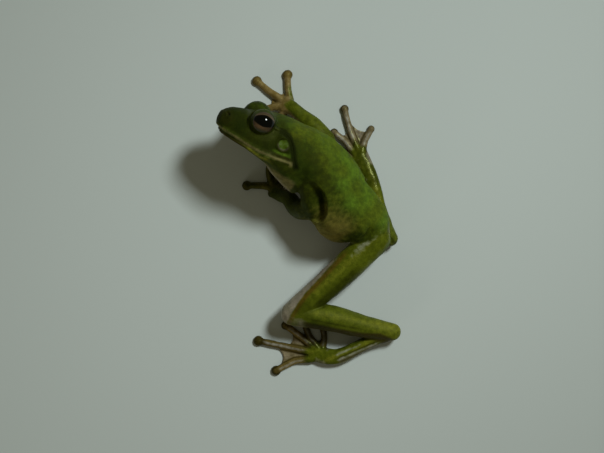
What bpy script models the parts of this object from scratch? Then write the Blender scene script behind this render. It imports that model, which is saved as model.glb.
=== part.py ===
"""White-lipped tree frog in a climbing pose, laid flat: a life-size solid model in named nodes.

Lengths are in millimetres until a mesh is made. Z is up from the floor, and Y runs from the
hind feet to the front hands. The snout points to -X and +Y, and the frog's left flank is up.
"""

import math

import bmesh
import bpy
import numpy as np

MM = 0.001

# Fineness
BODY_GRID = 0.42
AROUND = 32
STEPS = 7
CAP_RINGS = 5
SMOOTHINGS = 9
TRUNK_SMOOTHINGS = 26
NODE_GAP = 0.3
WELDS = (0.001, 0.03, 0.06, 0.1, 0.15)
LIMB_GAP = 0.36

# Skeleton
JOINTS = {
    "neck": (-4.2, 31.6, 20.0),
    "shoulders": (2.3, 27.2, 20.0),
    "chest": (8.0, 19.9, 19.0),
    "belly": (13.2, 9.5, 17.0),
    "loin": (21.6, 3.4, 15.0),
    "pelvis": (27.9, -3.2, 12.5),
    "vent": (31.4, -7.8, 11.0),
    "right_shoulder": (3.1, 28.5, 13.1),
    "right_elbow": (7.3, 37.1, 5.8),
    "right_forearm": (1.0, 43.6, 5.0),
    "right_wrist": (-6.3, 50.2, 4.0),
    "right_palm": (-11.4, 53.3, 2.0),
    "left_shoulder": (-0.3, 18.5, 21.0),
    "left_elbow": (2.3, 5.4, 18.0),
    "left_forearm": (-5.4, 6.0, 10.5),
    "left_wrist": (-12.8, 12.4, 4.0),
    "left_palm": (-15.5, 14.7, 2.0),
    "left_hip": (29.3, -6.8, 11.5),
    "left_thigh": (13.4, -22.4, 11.5),
    "left_knee": (-7.3, -40.1, 10.5),
    "left_calf": (9.0, -42.2, 9.5),
    "left_heel": (37.0, -48.7, 5.4),
    "left_sole": (11.2, -60.0, 2.8),
    "right_hip": (30.2, -5.0, 10.5),
    "right_thigh": (22.3, 11.4, 9.5),
    "right_knee": (13.2, 28.6, 7.6),
    "right_calf": (22.8, 13.2, 6.6),
    "right_heel": (36.1, -7.0, 4.8),
    "right_sole": (26.9, 20.9, 2.8),
}

# Trunk sections: joint, half width, depth to the back, depth to the belly, roll in degrees
TRUNK = (
    ("neck", 13.2, 11.0, 11.0, 66),
    ("shoulders", 14.6, 10.5, 12.0, 52),
    ("chest", 15.5, 10.5, 12.5, 40),
    ("belly", 15.8, 11.0, 13.0, 28),
    ("loin", 12.2, 9.0, 11.0, 20),
    ("pelvis", 9.3, 7.0, 7.5, 12),
    ("vent", 4.8, 4.3, 4.3, 8),
)
ABDOMEN = {"at": (13.8, 3.8, 14.5), "radii": (12.8, 12.8, 10.5)}
# Hollows in the trunk, behind the left arm and before the left thigh: place, radius
HOLLOWS = (
    ((-3.0, 23.0, 35.0, 3.5), (-0.9, 17.0, 29.0, 5.2), (1.2, 10.5, 27.0, 6.2), (1.2, 5.8, 26.0, 6.2)),
    ((28.0, 4.5, 24.4, 1.3), (27.0, -1.0, 22.6, 1.5), (25.6, -5.0, 20.0, 1.6), (22.8, -9.0, 18.8, 1.5)),
)

# Limb sections: joint or offset place, half width, half height
ARM_RADII = {"shoulder": 5.6, "upper": 4.6, "elbow": 4.1, "fore": 4.2, "wrist": 3.1}
LEG_RADII = {"hip": 7.0, "thigh": 6.6, "knee": 5.4, "calf": 5.9, "ankle": 3.6, "heel": 3.9}
TARSUS = {"width": 2.9, "height": 2.3}
DIGIT = {"width": 1.65, "height": 1.25, "base": 1.9, "level": 1.05}
PAD = {"radius": 2.3, "height": 1.25, "level": 0.95, "long": 1.0}
WEB = {"thick": 0.85, "level": 0.75}

# Digits: points from base to pad on the floor plan, and the pad's size against a full one
HANDS = {
    "right": (
        ((-10.6, 50.6), (-13.4, 47.4), (-15.5, 43.4), 0.85),
        ((-13.7, 52.4), (-18.4, 51.4), (-23.6, 49.3), 0.9),
        ((-13.2, 55.6), (-18.6, 59.4), (-23.6, 63.7), 1.0),
        ((-8.8, 55.1), (-9.7, 60.5), (-9.9, 66.4), 1.05),
    ),
    "left": (
        ((-12.8, 16.1), (-9.6, 19.2), (-7.0, 23.2), 0.85),
        ((-15.0, 17.0), (-13.2, 22.6), (-10.9, 28.0), 0.9),
        ((-16.8, 17.4), (-18.2, 22.8), (-17.2, 28.8), 1.0),
        ((-16.8, 16.1), (-22.2, 16.7), (-28.1, 16.7), 1.0),
    ),
}
FEET = {
    "left": (
        ((5.6, -57.1), (6.6, -52.4), (6.1, -47.3), 0.7),
        ((3.8, -56.3), (0.2, -51.2), (-2.5, -45.0), 0.8),
        ((2.5, -56.7), (-2.9, -51.8), (-10.8, -46.1), 0.9),
        ((1.1, -58.0), (-8.8, -56.0), (-22.9, -53.1), 1.05),
        ((0.6, -61.2), (-6.5, -62.1), (-15.0, -66.4), 1.0),
    ),
    "right": (
        ((20.6, 25.3), (18.8, 24.6), (16.2, 22.8), 0.7),
        ((19.8, 28.0), (16.0, 30.6), (11.9, 31.8), 0.75),
        ((20.3, 30.7), (16.2, 36.3), (11.0, 40.5), 0.85),
        ((21.7, 32.7), (18.3, 41.2), (15.7, 51.1), 0.85),
        ((23.7, 32.2), (24.9, 36.7), (27.7, 42.1), 0.75),
    ),
}
# Webs from the first pair of digits to the last: reach along each digit, and hollow of the edge
HAND_WEBS = ((0.5, 0.4, 0.3), (0.5, 0.4, 0.25), (0.4, 0.36, 0.3))
FOOT_WEBS = ((0.6, 0.5, 0.3), (0.7, 0.6, 0.25), (0.86, 0.56, 0.15), (0.76, 0.88, 0.15))

# Head: its origin is on the middle plane between the corners of the mouth
HEAD_AT = (-7.8, 32.4, 22.0)
HEAD_FORWARD = (-0.9105, 0.3314, 0.2475)
HEAD_LEFT = (0.16, -0.27, 0.95)
# Distance forward, half width, crown, widest level, throat
HEAD_ROWS = (
    (-8.0, 12.8, 11.0, -4.5, -17.5),
    (-1.0, 15.0, 11.6, -3.7, -14.6),
    (6.5, 15.9, 12.0, -3.7, -11.0),
    (12.0, 15.6, 11.7, -4.1, -9.0),
    (17.5, 14.3, 10.5, -4.1, -7.4),
    (23.0, 11.9, 9.0, -3.4, -5.9),
    (28.0, 9.2, 8.0, -2.3, -4.9),
    (31.5, 7.0, 6.9, -0.8, -4.0),
    (33.8, 4.9, 5.0, 0.9, -2.0),
)
HEAD_POWER = 2.35
# Mouth line: distance forward, height
MOUTH = (
    (-6.0, -4.0),
    (0.0, -3.6),
    (6.5, -3.7),
    (15.3, -4.2),
    (24.2, -3.3),
    (29.4, -2.6),
    (33.0, -2.2),
    (40.0, -1.8),
)
LIP = {"radius": 0.95, "offset": 1.0, "back": 1.0, "front": 32.0, "steps": 14}
EYE = {"at": (18.0, 10.1, 7.1), "radius": 5.35, "lid": 0.8, "aim": (0.10, 0.95, 0.30)}
EYE_OPENING = {"long": 4.95, "tall": 4.6}
EYE_GAP = 0.3
TYMPANUM = {"at": (7.3, 2.3), "radius": 2.9, "rim": 0.55, "sunk": 0.25, "lean": 0.28}
# Fold over the ear: distance forward, height
FOLD = ((12.2, 7.0), (8.8, 6.6), (5.6, 5.6), (3.0, 2.7), (1.0, -1.4), (-1.4, -4.4))
FOLD_RADIUS = 1.0
NOSTRIL = {"at": (32.2, 4.6), "radius": 0.62}

# Flat colours
COLORS = {
    "skin_green": (0.16, 0.27, 0.035, 1.0),
    "skin_pale": (0.42, 0.33, 0.24, 1.0),
    "eye_gloss": (0.09, 0.045, 0.02, 1.0),
}
ROUGHNESS = {"skin_green": 0.45, "skin_pale": 0.5, "eye_gloss": 0.2}
SHARP_ANGLE = 60

# Cuts between nodes, straight across: start, end, share of the way, radius
CUTS = {
    "waist": ("loin", "pelvis", 0.4, 19.0),
    "left_groin": ("left_hip", "left_thigh", 0.52, 9.5),
    "left_ankle": ("left_heel", "left_sole", 0.86, 4.6),
    "right_ankle": ("right_heel", "right_sole", 0.9, 4.6),
    "right_wrist": ("right_elbow", "right_wrist", 0.95, 5.0),
    "left_wrist": ("left_elbow", "left_wrist", 0.95, 5.0),
}
# Cuts through a bent joint: before, at and after it, reach outside the bend, reach inside it
MITRES = {
    "left_knee": ("left_thigh", "left_knee", "left_heel", 9.0, 22.0),
    "left_heel": ("left_knee", "left_heel", "left_sole", 6.0, 16.0),
    "right_knee": ("right_hip", "right_knee", "right_heel", 7.0, 46.0),
    "right_heel": ("right_knee", "right_heel", "right_sole", 6.0, 28.0),
    "right_elbow": ("right_shoulder", "right_elbow", "right_forearm", 7.5, 16.0),
    "left_elbow": ("left_shoulder", "left_elbow", "left_forearm", 7.5, 16.0),
}
NECK_CUT = {"at": (-3.2, 0, -3.0), "radius": 24.0}
HEAD_SEED = (20.0, 0.0, 6.0)
JAW_SEED = (18.0, 0.0, -7.0)
# A closed surface with fewer faces than this is no node
CRUMB = 60
MOUTH_CUT_WIDTH = 40.0

# Most triangles of a node
BUDGETS = {
    "head": 4600,
    "lower_jaw": 1000,
    "torso": 2400,
    "pelvis": 700,
    "thigh": 450,
    "shank": 450,
    "tarsus": 300,
    "foot": 1250,
    "upper_arm": 260,
    "forearm": 400,
    "hand": 900,
}


def unit(vector):
    vector = np.asarray(vector, float)
    return vector / np.linalg.norm(vector)


def joint(name):
    return np.array(JOINTS[name])


def between(start, end, share):
    return joint(start) * (1 - share) + joint(end) * share


def smooth_rows(rows, steps=STEPS):
    """Rows of numbers drawn out along a smooth curve. The first three of a row are its place."""
    rows = np.asarray(rows, float)
    gaps = np.linalg.norm(np.diff(rows[:, :3], axis=0), axis=1)
    slopes = np.diff(rows, axis=0) / gaps[:, None]
    tangents = np.empty_like(rows)
    tangents[0], tangents[-1] = slopes[0], slopes[-1]
    before, after = gaps[:-1, None], gaps[1:, None]
    tangents[1:-1] = (slopes[:-1] * after + slopes[1:] * before) / (before + after)
    drawn = []
    for index, gap in enumerate(gaps):
        share = np.linspace(0, 1, steps, endpoint=False)[:, None]
        square, cube = share**2, share**3
        drawn.append(
            (2 * cube - 3 * square + 1) * rows[index]
            + (cube - 2 * square + share) * gap * tangents[index]
            + (3 * square - 2 * cube) * rows[index + 1]
            + (cube - square) * gap * tangents[index + 1]
        )
    return np.vstack(drawn + [rows[-1:]])


def tube(rows, ups, power=2.0, steps=STEPS, around=AROUND, domed=(1.0, 1.0), facing=None):
    """Closed skin round a smooth path. A row is a place, half width, height above and below.

    Its rings stand square to the path, or all face one way.
    """
    rows = np.asarray(rows, float)
    ups = np.broadcast_to(np.asarray(ups, float), (len(rows), 3))
    drawn = smooth_rows(np.hstack([rows, ups]), steps)
    centres, sizes, ups = drawn[:, :3], drawn[:, 3:6], drawn[:, 6:9]
    tangents = np.gradient(centres, axis=0)
    tangents /= np.linalg.norm(tangents, axis=1)[:, None]
    if facing is not None:
        tangents[:] = facing
    rings = []
    for dome, end, sign in ((domed[0], 0, -1), (domed[1], -1, 1)):
        reach = dome * sizes[end].mean()
        caps = []
        for step in range(1, CAP_RINGS):
            turn = step / CAP_RINGS * math.pi / 2
            moved = centres[end] + sign * tangents[end] * reach * math.sin(turn)
            caps.append((moved, sizes[end] * math.cos(turn), ups[end], tangents[end]))
        pole = centres[end] + sign * tangents[end] * reach
        rings.append((caps, pole))
    body = list(zip(centres, sizes, ups, tangents))
    rows_all = rings[0][0][::-1] + body + rings[1][0]
    angles = np.linspace(0, 2 * math.pi, around, endpoint=False)
    across = np.sign(np.cos(angles)) * np.abs(np.cos(angles)) ** (2 / power)
    upward = np.sign(np.sin(angles)) * np.abs(np.sin(angles)) ** (2 / power)
    points = []
    for centre, (half, above, below), up, tangent in rows_all:
        side = unit(np.cross(tangent, up))
        top = unit(np.cross(side, tangent))
        height = np.where(upward > 0, above, below) * upward
        points.append(centre + np.outer(across * half, side) + np.outer(height, top))
    return skin_over(np.array(points), rings[0][1], rings[1][1])


def skin_over(rings, first_pole, last_pole):
    """Points and faces of a closed skin over rings and a pole at each end."""
    count, around = rings.shape[:2]
    points = np.vstack([rings.reshape(-1, 3), [first_pole, last_pole]])
    faces = []
    for row in range(count - 1):
        for step in range(around):
            after = (step + 1) % around
            low, high = row * around, (row + 1) * around
            faces.append((low + step, low + after, high + after, high + step))
    last = (count - 1) * around
    for step in range(around):
        after = (step + 1) % around
        faces.append((count * around, after, step))
        faces.append((count * around + 1, last + step, last + after))
    return points, faces


def ball(centre, radii, axes=None, rings=14, around=24):
    """Ellipsoid with its radii along the rows of axes."""
    axes = np.eye(3) if axes is None else np.asarray(axes, float)
    shell = bmesh.new()
    bmesh.ops.create_uvsphere(shell, u_segments=around, v_segments=rings, radius=1.0)
    points = np.array([vertex.co[:] for vertex in shell.verts])
    faces = [[vertex.index for vertex in face.verts] for face in shell.faces]
    shell.free()
    return (points * np.asarray(radii, float)) @ axes + centre, faces


def level_row(place, width, height):
    return (*place, width, height, height)


def mesh_object(name, points, faces):
    mesh = bpy.data.meshes.new(name)
    mesh.from_pydata((np.asarray(points) * MM).tolist(), [], [list(face) for face in faces])
    shell = bmesh.new()
    shell.from_mesh(mesh)
    bmesh.ops.recalc_face_normals(shell, faces=shell.faces)
    if shell.calc_volume(signed=True) < 0:
        bmesh.ops.reverse_faces(shell, faces=shell.faces)
    shell.to_mesh(mesh)
    shell.free()
    obj = bpy.data.objects.new(name, mesh)
    bpy.context.scene.collection.objects.link(obj)
    return obj


def object_of(name, pieces):
    """One object that holds several closed skins."""
    points, faces, start = [], [], 0
    for piece_points, piece_faces in pieces:
        points.append(piece_points)
        faces.extend([[start + corner for corner in face] for face in piece_faces])
        start += len(piece_points)
    return mesh_object(name, np.vstack(points), faces)


def settle(obj):
    """Replaces the object's mesh with what its modifiers make of it."""
    bpy.context.view_layer.update()
    graph = bpy.context.evaluated_depsgraph_get()
    made = bpy.data.meshes.new_from_object(obj.evaluated_get(graph))
    obj.modifiers.clear()
    obj.data = made


def points_of(obj):
    points = np.empty(len(obj.data.vertices) * 3)
    obj.data.vertices.foreach_get("co", points)
    return points.reshape(-1, 3) / MM


def set_points(obj, points):
    obj.data.vertices.foreach_set("co", (points * MM).ravel())
    obj.data.update()


def smoothed(obj, rounds, share=None):
    """Draws each point towards its neighbours, by its own share."""
    points = points_of(obj)
    edges = np.empty(len(obj.data.edges) * 2, np.int64)
    obj.data.edges.foreach_get("vertices", edges)
    first, second = edges.reshape(-1, 2).T
    degree = np.bincount(np.concatenate([first, second]), minlength=len(points))[:, None]
    share = 1.0 if share is None else share[:, None]
    for _ in range(rounds):
        total = np.zeros_like(points)
        for axis in range(3):
            total[:, axis] = np.bincount(first, points[second, axis], len(points))
            total[:, axis] += np.bincount(second, points[first, axis], len(points))
        points = points + 0.5 * share * (total / degree - points)
    set_points(obj, points)


def grown(name, pieces):
    """One closed skin over pieces that overlap, on an even grid, with soft joins."""
    obj = object_of(name, pieces)
    remesh = obj.modifiers.new("skin", "REMESH")
    remesh.mode = "VOXEL"
    remesh.voxel_size = BODY_GRID * MM
    settle(obj)
    smoothed(obj, SMOOTHINGS)
    return obj


def rest_on_floor(obj):
    points = points_of(obj)
    points[:, 2] = np.maximum(points[:, 2], 0.0)
    set_points(obj, points)


def cut_by(obj, tool, solver="MANIFOLD"):
    boolean = obj.modifiers.new("cut", "BOOLEAN")
    boolean.operation = "DIFFERENCE"
    boolean.solver = solver
    boolean.object = tool
    settle(obj)
    bpy.data.objects.remove(tool)


def carved(piece, tools):
    """Points and faces of a piece less its cutters."""
    obj = mesh_object("carved", *piece)
    for tool in tools:
        cut_by(obj, mesh_object("tool", *tool))
    points = points_of(obj)
    faces = [list(polygon.vertices) for polygon in obj.data.polygons]
    bpy.data.objects.remove(obj)
    return points, faces


def trunk_pieces():
    rows, ups = [], []
    path = np.array([joint(row[0]) for row in TRUNK])
    headings = np.gradient(path, axis=0)
    for (name, half, back, front, roll), heading in zip(TRUNK, headings):
        heading = unit(-heading)
        to_right = unit(np.cross(heading, (0, 0, 1)))
        rise = unit(np.cross(to_right, heading))
        turn = math.radians(roll)
        ups.append(math.cos(turn) * rise + math.sin(turn) * to_right)
        rows.append((*joint(name), half, back, front))
    hollows = []
    for line in HOLLOWS:
        hollows.append(tube([level_row(row[:3], row[3], row[3]) for row in line], (1, 0, 0)))
    pieces = tube(rows, ups, power=2.15), ball(ABDOMEN["at"], ABDOMEN["radii"])
    return [carved(piece, hollows) for piece in pieces]


def head_axes():
    forward = unit(HEAD_FORWARD)
    left = np.asarray(HEAD_LEFT, float)
    left = unit(left - forward * (left @ forward))
    return np.array([forward, left, np.cross(forward, left)])


def in_head(place, side=1):
    """A place in the head's own frame, on its left for side 1 and its right for side -1."""
    x, y, z = place
    return np.array(HEAD_AT) + np.array([x, y * side, z]) @ head_axes()


def head_direction(vector, side=1):
    x, y, z = vector
    return unit(np.array([x, y * side, z]) @ head_axes())


def head_section(forward):
    """Half width, crown, widest level and throat at a distance forward."""
    table = np.array(HEAD_ROWS)
    return [np.interp(forward, table[:, 0], column) for column in table[:, 1:].T]


def head_side(forward, height):
    """Half width of the head at a height."""
    half, crown, level, throat = head_section(forward)
    span = crown - level if height > level else level - throat
    share = min(abs(height - level) / span, 1.0)
    return half * (1 - share**HEAD_POWER) ** (1 / HEAD_POWER)


def on_head(forward, height, side, sunk=0.0):
    """A place on the side of the head, or sunk below its skin."""
    return in_head((forward, head_side(forward, height) - sunk, height), side)


def ear_frame(side):
    """Centre of the ear's membrane, and its directions forward, up and outward."""
    centre = on_head(*TYMPANUM["at"], side, TYMPANUM["sunk"])
    outward = head_direction((0, 1, TYMPANUM["lean"]), side)
    forward = unit(head_axes()[0] - outward * (head_axes()[0] @ outward))
    return centre, forward, unit(np.cross(forward, outward)) * -side, outward


def head_pieces():
    forward, left, up = head_axes()
    rows = []
    for distance, half, crown, level, throat in HEAD_ROWS:
        rows.append((*in_head((distance, 0, level)), half, crown - level, level - throat))
    pieces = [tube(rows, up, power=HEAD_POWER, domed=(0.4, 0.36), facing=forward)]
    for side in (1, -1):
        axes = np.array([forward, left * side, up])
        lid = EYE["radius"] + EYE["lid"]
        pieces.append(ball(in_head(EYE["at"], side), (lid * 1.04, lid, lid * 0.97), axes))
        for offset in (LIP["offset"], -LIP["offset"]):
            pieces.append(lip(side, offset))
        fold = [level_row(on_head(*place, side, 0.15), FOLD_RADIUS, FOLD_RADIUS) for place in FOLD]
        pieces.append(tube(fold, up, around=12))
        pieces.append(rim_of_tympanum(side))
    return pieces


def mouth_height(forward):
    table = np.array(MOUTH)
    return float(np.interp(forward, table[:, 0], table[:, 1]))


def lip(side, offset):
    rows = []
    for distance in np.linspace(LIP["back"], LIP["front"], LIP["steps"]):
        height = mouth_height(distance) + offset
        out = head_side(distance, height) - 0.45 * LIP["radius"]
        place = in_head((distance, out, height), side)
        rows.append(level_row(place, LIP["radius"], LIP["radius"]))
    return tube(rows, head_axes()[2], around=12, steps=2)


def rim_of_tympanum(side):
    """Ring round the ear's membrane."""
    centre, forward, up, outward = ear_frame(side)
    ring = []
    turns, around = 24, 10
    for turn in np.linspace(0, 2 * math.pi, turns, endpoint=False):
        spoke = math.cos(turn) * forward + math.sin(turn) * up
        middle = centre + spoke * TYMPANUM["radius"]
        angles = np.linspace(0, 2 * math.pi, around, endpoint=False)
        circle = np.outer(np.cos(angles), spoke) + np.outer(np.sin(angles), outward)
        ring.append(middle + TYMPANUM["rim"] * circle)
    points = np.vstack(ring)
    faces = []
    for row in range(turns):
        for step in range(around):
            after = (step + 1) % around
            low, high = row * around, (row + 1) % turns * around
            faces.append((low + step, low + after, high + after, high + step))
    return points, faces


def digit(points, scale):
    """A finger or toe with its flat round pad."""
    base, middle, tip = (np.array((*point, DIGIT["level"])) for point in points)
    width, height = DIGIT["width"], DIGIT["height"]
    rows = [
        level_row(base + (0, 0, 0.5), DIGIT["base"], height * 1.25),
        level_row(middle, width * (0.75 + 0.25 * scale), height),
        level_row(tip, width * (0.7 + 0.25 * scale), height * 0.95),
    ]
    along = unit(tip - middle)
    across = unit(np.cross((0, 0, 1), along))
    radius = PAD["radius"] * scale
    pad = ball(
        (tip[0], tip[1], PAD["level"]),
        (radius * PAD["long"], radius, PAD["height"]),
        (along, across, (0, 0, 1)),
    )
    return [tube(rows, (0, 0, 1), around=16), pad]


def web(first, second, reaches, hollow):
    """Thin skin between two digits, with a hollow free edge."""
    count, across = 14, 10
    edges = []
    for points, reach in zip((first, second), reaches):
        line = smooth_rows([(*point, WEB["level"]) for point in points], 8)
        places = np.linspace(0, reach * (len(line) - 1), count)
        edges.append([np.interp(places, range(len(line)), line[:, axis]) for axis in range(3)])
    edges = np.array(edges)
    grid = np.empty((count, across + 1, 3))
    for step in range(across + 1):
        share = step / across
        dip = 1 - hollow * math.sin(math.pi * share)
        places = np.linspace(0, (count - 1) * dip, count)
        for axis in range(3):
            one, two = (np.interp(places, range(count), edge[axis]) for edge in edges)
            grid[:, step, axis] = one * (1 - share) + two * share
    return slab(grid, (0, 0, 1), WEB["thick"])


def slab(grid, normal, thick):
    """Closed sheet of even thickness over a grid of points."""
    rows, columns = grid.shape[:2]
    offset = np.asarray(normal, float) * thick / 2
    points = np.vstack([(grid + offset).reshape(-1, 3), (grid - offset).reshape(-1, 3)])
    under = rows * columns
    faces = []
    for row in range(rows - 1):
        for column in range(columns - 1):
            a = row * columns + column
            corners = (a, a + 1, a + columns + 1, a + columns)
            faces.append(corners)
            faces.append(tuple(under + corner for corner in reversed(corners)))
    border = [(0, column) for column in range(columns)]
    border += [(row, columns - 1) for row in range(1, rows)]
    border += [(rows - 1, column) for column in range(columns - 2, -1, -1)]
    border += [(row, 0) for row in range(rows - 2, 0, -1)]
    for index, (row, column) in enumerate(border):
        next_row, next_column = border[(index + 1) % len(border)]
        a, b = row * columns + column, next_row * columns + next_column
        faces.append((b, a, under + a, under + b))
    return points, faces


def arm_pieces(side):
    shoulder, elbow = side + "_shoulder", side + "_elbow"
    wrist, palm = side + "_wrist", side + "_palm"
    sizes = ARM_RADII
    upper = [
        level_row(joint(shoulder), sizes["shoulder"], sizes["shoulder"]),
        level_row(between(shoulder, elbow, 0.5), sizes["upper"], sizes["upper"]),
        level_row(joint(elbow), sizes["elbow"], sizes["elbow"]),
    ]
    fore = [
        level_row(joint(elbow), sizes["elbow"], sizes["elbow"]),
        level_row(joint(side + "_forearm"), sizes["fore"], sizes["fore"] * 0.92),
        level_row(between(elbow, wrist, 0.8), sizes["wrist"] + 0.4, sizes["wrist"]),
        level_row(joint(wrist), sizes["wrist"], sizes["wrist"] * 0.85),
        level_row(joint(palm), sizes["wrist"] + 0.9, 2.0),
    ]
    pieces = [tube(upper, (0, 0.4, 1)), tube(fore, (0, 0, 1))]
    hand = HANDS[side]
    for *points, scale in hand:
        pieces += digit(points, scale)
    for one, two, (*reaches, hollow) in zip(hand, hand[1:], HAND_WEBS):
        pieces.append(web(one[:3], two[:3], reaches, hollow))
    return pieces


def foot_pieces(side):
    heel, sole = joint(side + "_heel"), joint(side + "_sole")
    width, height = TARSUS["width"], TARSUS["height"]
    foot = FEET[side]
    knuckles = np.array([(*points[0], 1.6) for points in foot])
    instep = knuckles[2:].mean(axis=0)
    middle = heel * 0.55 + sole * 0.45
    rows = [
        level_row(heel, LEG_RADII["ankle"] * 0.9, LEG_RADII["ankle"] * 0.9),
        level_row(middle + (0, 0, -0.3), width, height),
        level_row(sole, width * 1.22, height),
        level_row(instep, width * 1.35, height * 0.8),
    ]
    pieces = [tube(rows, (0, 0, 1))]
    for *points, scale in foot:
        start = np.array((*points[0], DIGIT["level"] + 0.6))
        metatarsal = [
            level_row(sole * 0.7 + instep * 0.3 - (0, 0, 0.6), 1.9, 1.6),
            level_row(start, DIGIT["base"], DIGIT["height"] * 1.2),
        ]
        pieces.append(tube(metatarsal, (0, 0, 1), around=16))
        pieces += digit(points, scale)
    for one, two, (*reaches, hollow) in zip(foot, foot[1:], FOOT_WEBS):
        pieces.append(web(one[:3], two[:3], reaches, hollow))
    return pieces


def leg_pieces(side):
    hip, knee, heel = side + "_hip", side + "_knee", side + "_heel"
    size = LEG_RADII
    slim, slimmer = (1.0, 1.0) if side == "left" else (0.8, 0.74)
    thigh = [
        level_row(joint(hip), size["hip"] * slim, size["hip"] * 0.86 * slim),
        level_row(joint(side + "_thigh"), size["thigh"] * slim, size["thigh"] * slim),
        level_row(joint(knee), size["knee"] * slim, size["knee"] * slim),
    ]
    shank = [
        level_row(joint(knee), size["knee"] * slim, size["knee"] * slim),
        level_row(joint(side + "_calf"), size["calf"] * slimmer, size["calf"] * slimmer * 0.95),
        level_row(between(knee, heel, 0.72), size["calf"] * slimmer * 0.84, size["calf"] * slimmer * 0.8),
        level_row(joint(heel), size["heel"] * slimmer**0.5, size["ankle"]),
    ]
    return [tube(thigh, (0, 0, 1)), tube(shank, (0, 0, 1)), *foot_pieces(side)]


def disc(centre, normal, radius, thick=NODE_GAP):
    """Thin round cutter."""
    shell = bmesh.new()
    bmesh.ops.create_cone(
        shell, cap_ends=True, segments=40, radius1=radius, radius2=radius, depth=thick
    )
    points = np.array([vertex.co[:] for vertex in shell.verts])
    faces = [[vertex.index for vertex in face.verts] for face in shell.faces]
    shell.free()
    normal = unit(normal)
    side = unit(np.cross(normal, (0.3, 0.5, 0.81)))
    return points @ np.array([side, np.cross(normal, side), normal]) + centre, faces


def inflated(obj, amount):
    """Copy of a skin, moved outward all over."""
    copy = bpy.data.objects.new("helper", obj.data.copy())
    bpy.context.scene.collection.objects.link(copy)
    normals = np.empty(len(copy.data.vertices) * 3)
    copy.data.vertices.foreach_get("normal", normals)
    set_points(copy, points_of(copy) + amount * normals.reshape(-1, 3))
    return copy


def eye_socket(side):
    """Room for the eyeball, and the opening between the lids."""
    centre = in_head(EYE["at"], side)
    aim = head_direction(EYE["aim"], side)
    forward = unit(head_axes()[0] - aim * (head_axes()[0] @ aim))
    upward = np.cross(forward, aim) * side
    room = ball(centre, EYE["radius"] + EYE_GAP, (forward, upward, aim), 28, 40)
    rings = []
    angles = np.linspace(0, 2 * math.pi, 40, endpoint=False)
    for distance in (1.5, 9.0):
        spread = 1.0 + 0.05 * distance / 9.0
        ring = centre + aim * distance
        ring = ring + np.outer(np.cos(angles) * EYE_OPENING["long"] * spread, forward)
        ring = ring + np.outer(np.sin(angles) * EYE_OPENING["tall"] * spread, upward)
        rings.append(ring)
    opening = skin_over(np.array(rings), centre + aim * 1.5, centre + aim * 9.0)
    return room, opening


def mouth_cutter():
    """Thin sheet along the line of the mouth, out past the lips on both sides."""
    forward, left, up = head_axes()
    table = np.array(MOUTH)
    distances = np.linspace(table[0, 0], table[-1, 0], 16)
    grid = np.empty((len(distances), 3, 3))
    for row, distance in enumerate(distances):
        for column, across in enumerate((-MOUTH_CUT_WIDTH / 2, 0.0, MOUTH_CUT_WIDTH / 2)):
            grid[row, column] = in_head((distance, across, mouth_height(distance)))
    return slab(grid, up, NODE_GAP)


def pieces_apart(obj):
    """Splits an object into one object per closed surface."""
    faces = bmesh.new()
    faces.from_mesh(obj.data)
    faces.verts.ensure_lookup_table()
    seen = np.full(len(faces.verts), -1)
    count = 0
    for vertex in faces.verts:
        if seen[vertex.index] >= 0:
            continue
        queue = [vertex]
        seen[vertex.index] = count
        while queue:
            for edge in queue.pop().link_edges:
                for end in edge.verts:
                    if seen[end.index] < 0:
                        seen[end.index] = count
                        queue.append(end)
        count += 1
    corners = [[v.index for v in face.verts] for face in faces.faces]
    faces.free()
    points = points_of(obj)
    found = []
    for piece in range(count):
        inside = np.flatnonzero(seen == piece)
        renumber = dict(zip(inside.tolist(), range(len(inside))))
        own = [[renumber[v] for v in face] for face in corners if seen[face[0]] == piece]
        found.append((points[inside], own))
    bpy.data.objects.remove(obj)
    return found


def welded_shut(obj):
    """Joins points that all but touch. True if every edge then has two faces."""
    for distance in WELDS:
        shell = bmesh.new()
        shell.from_mesh(obj.data)
        bmesh.ops.remove_doubles(shell, verts=shell.verts, dist=distance * MM)
        bmesh.ops.dissolve_degenerate(shell, edges=shell.edges, dist=WELDS[0] * MM)
        bmesh.ops.triangulate(shell, faces=shell.faces)
        shut = all(len(edge.link_faces) == 2 for edge in shell.edges)
        if shut:
            shell.to_mesh(obj.data)
        shell.free()
        if shut:
            return True
    return False


def reduced(obj, budget):
    """Fewer triangles, down to the node's budget, with the skin still closed."""
    whole = obj.data
    whole.calc_loop_triangles()
    triangles = len(whole.loop_triangles)
    for attempt in range(12):
        obj.data = whole.copy()
        fewer = obj.modifiers.new("fewer", "DECIMATE")
        fewer.ratio = min(1.0, (budget - 7 * attempt) / triangles)
        fewer.use_collapse_triangulate = True
        settle(obj)
        if welded_shut(obj):
            return
    raise RuntimeError(obj.name + " is not closed at its budget")


def material(name):
    made = bpy.data.materials.get(name) or bpy.data.materials.new(name)
    made.use_nodes = True
    shader = made.node_tree.nodes["Principled BSDF"]
    shader.inputs["Base Color"].default_value = COLORS[name]
    shader.inputs["Roughness"].default_value = ROUGHNESS[name]
    shader.inputs["Metallic"].default_value = 0.0
    made.diffuse_color = COLORS[name]
    return made


def finished(obj, slot):
    """Gives a node its material and smooth shading, and puts it in the frog's collection."""
    obj.data.materials.clear()
    obj.data.materials.append(material(slot))
    obj.data.shade_smooth()
    obj.data.set_sharp_from_angle(angle=math.radians(SHARP_ANGLE))
    frog = bpy.data.collections.get("tree_frog")
    if frog is None:
        frog = bpy.data.collections.new("tree_frog")
        bpy.context.scene.collection.children.link(frog)
    bpy.context.scene.collection.objects.unlink(obj)
    frog.objects.link(obj)


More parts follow.
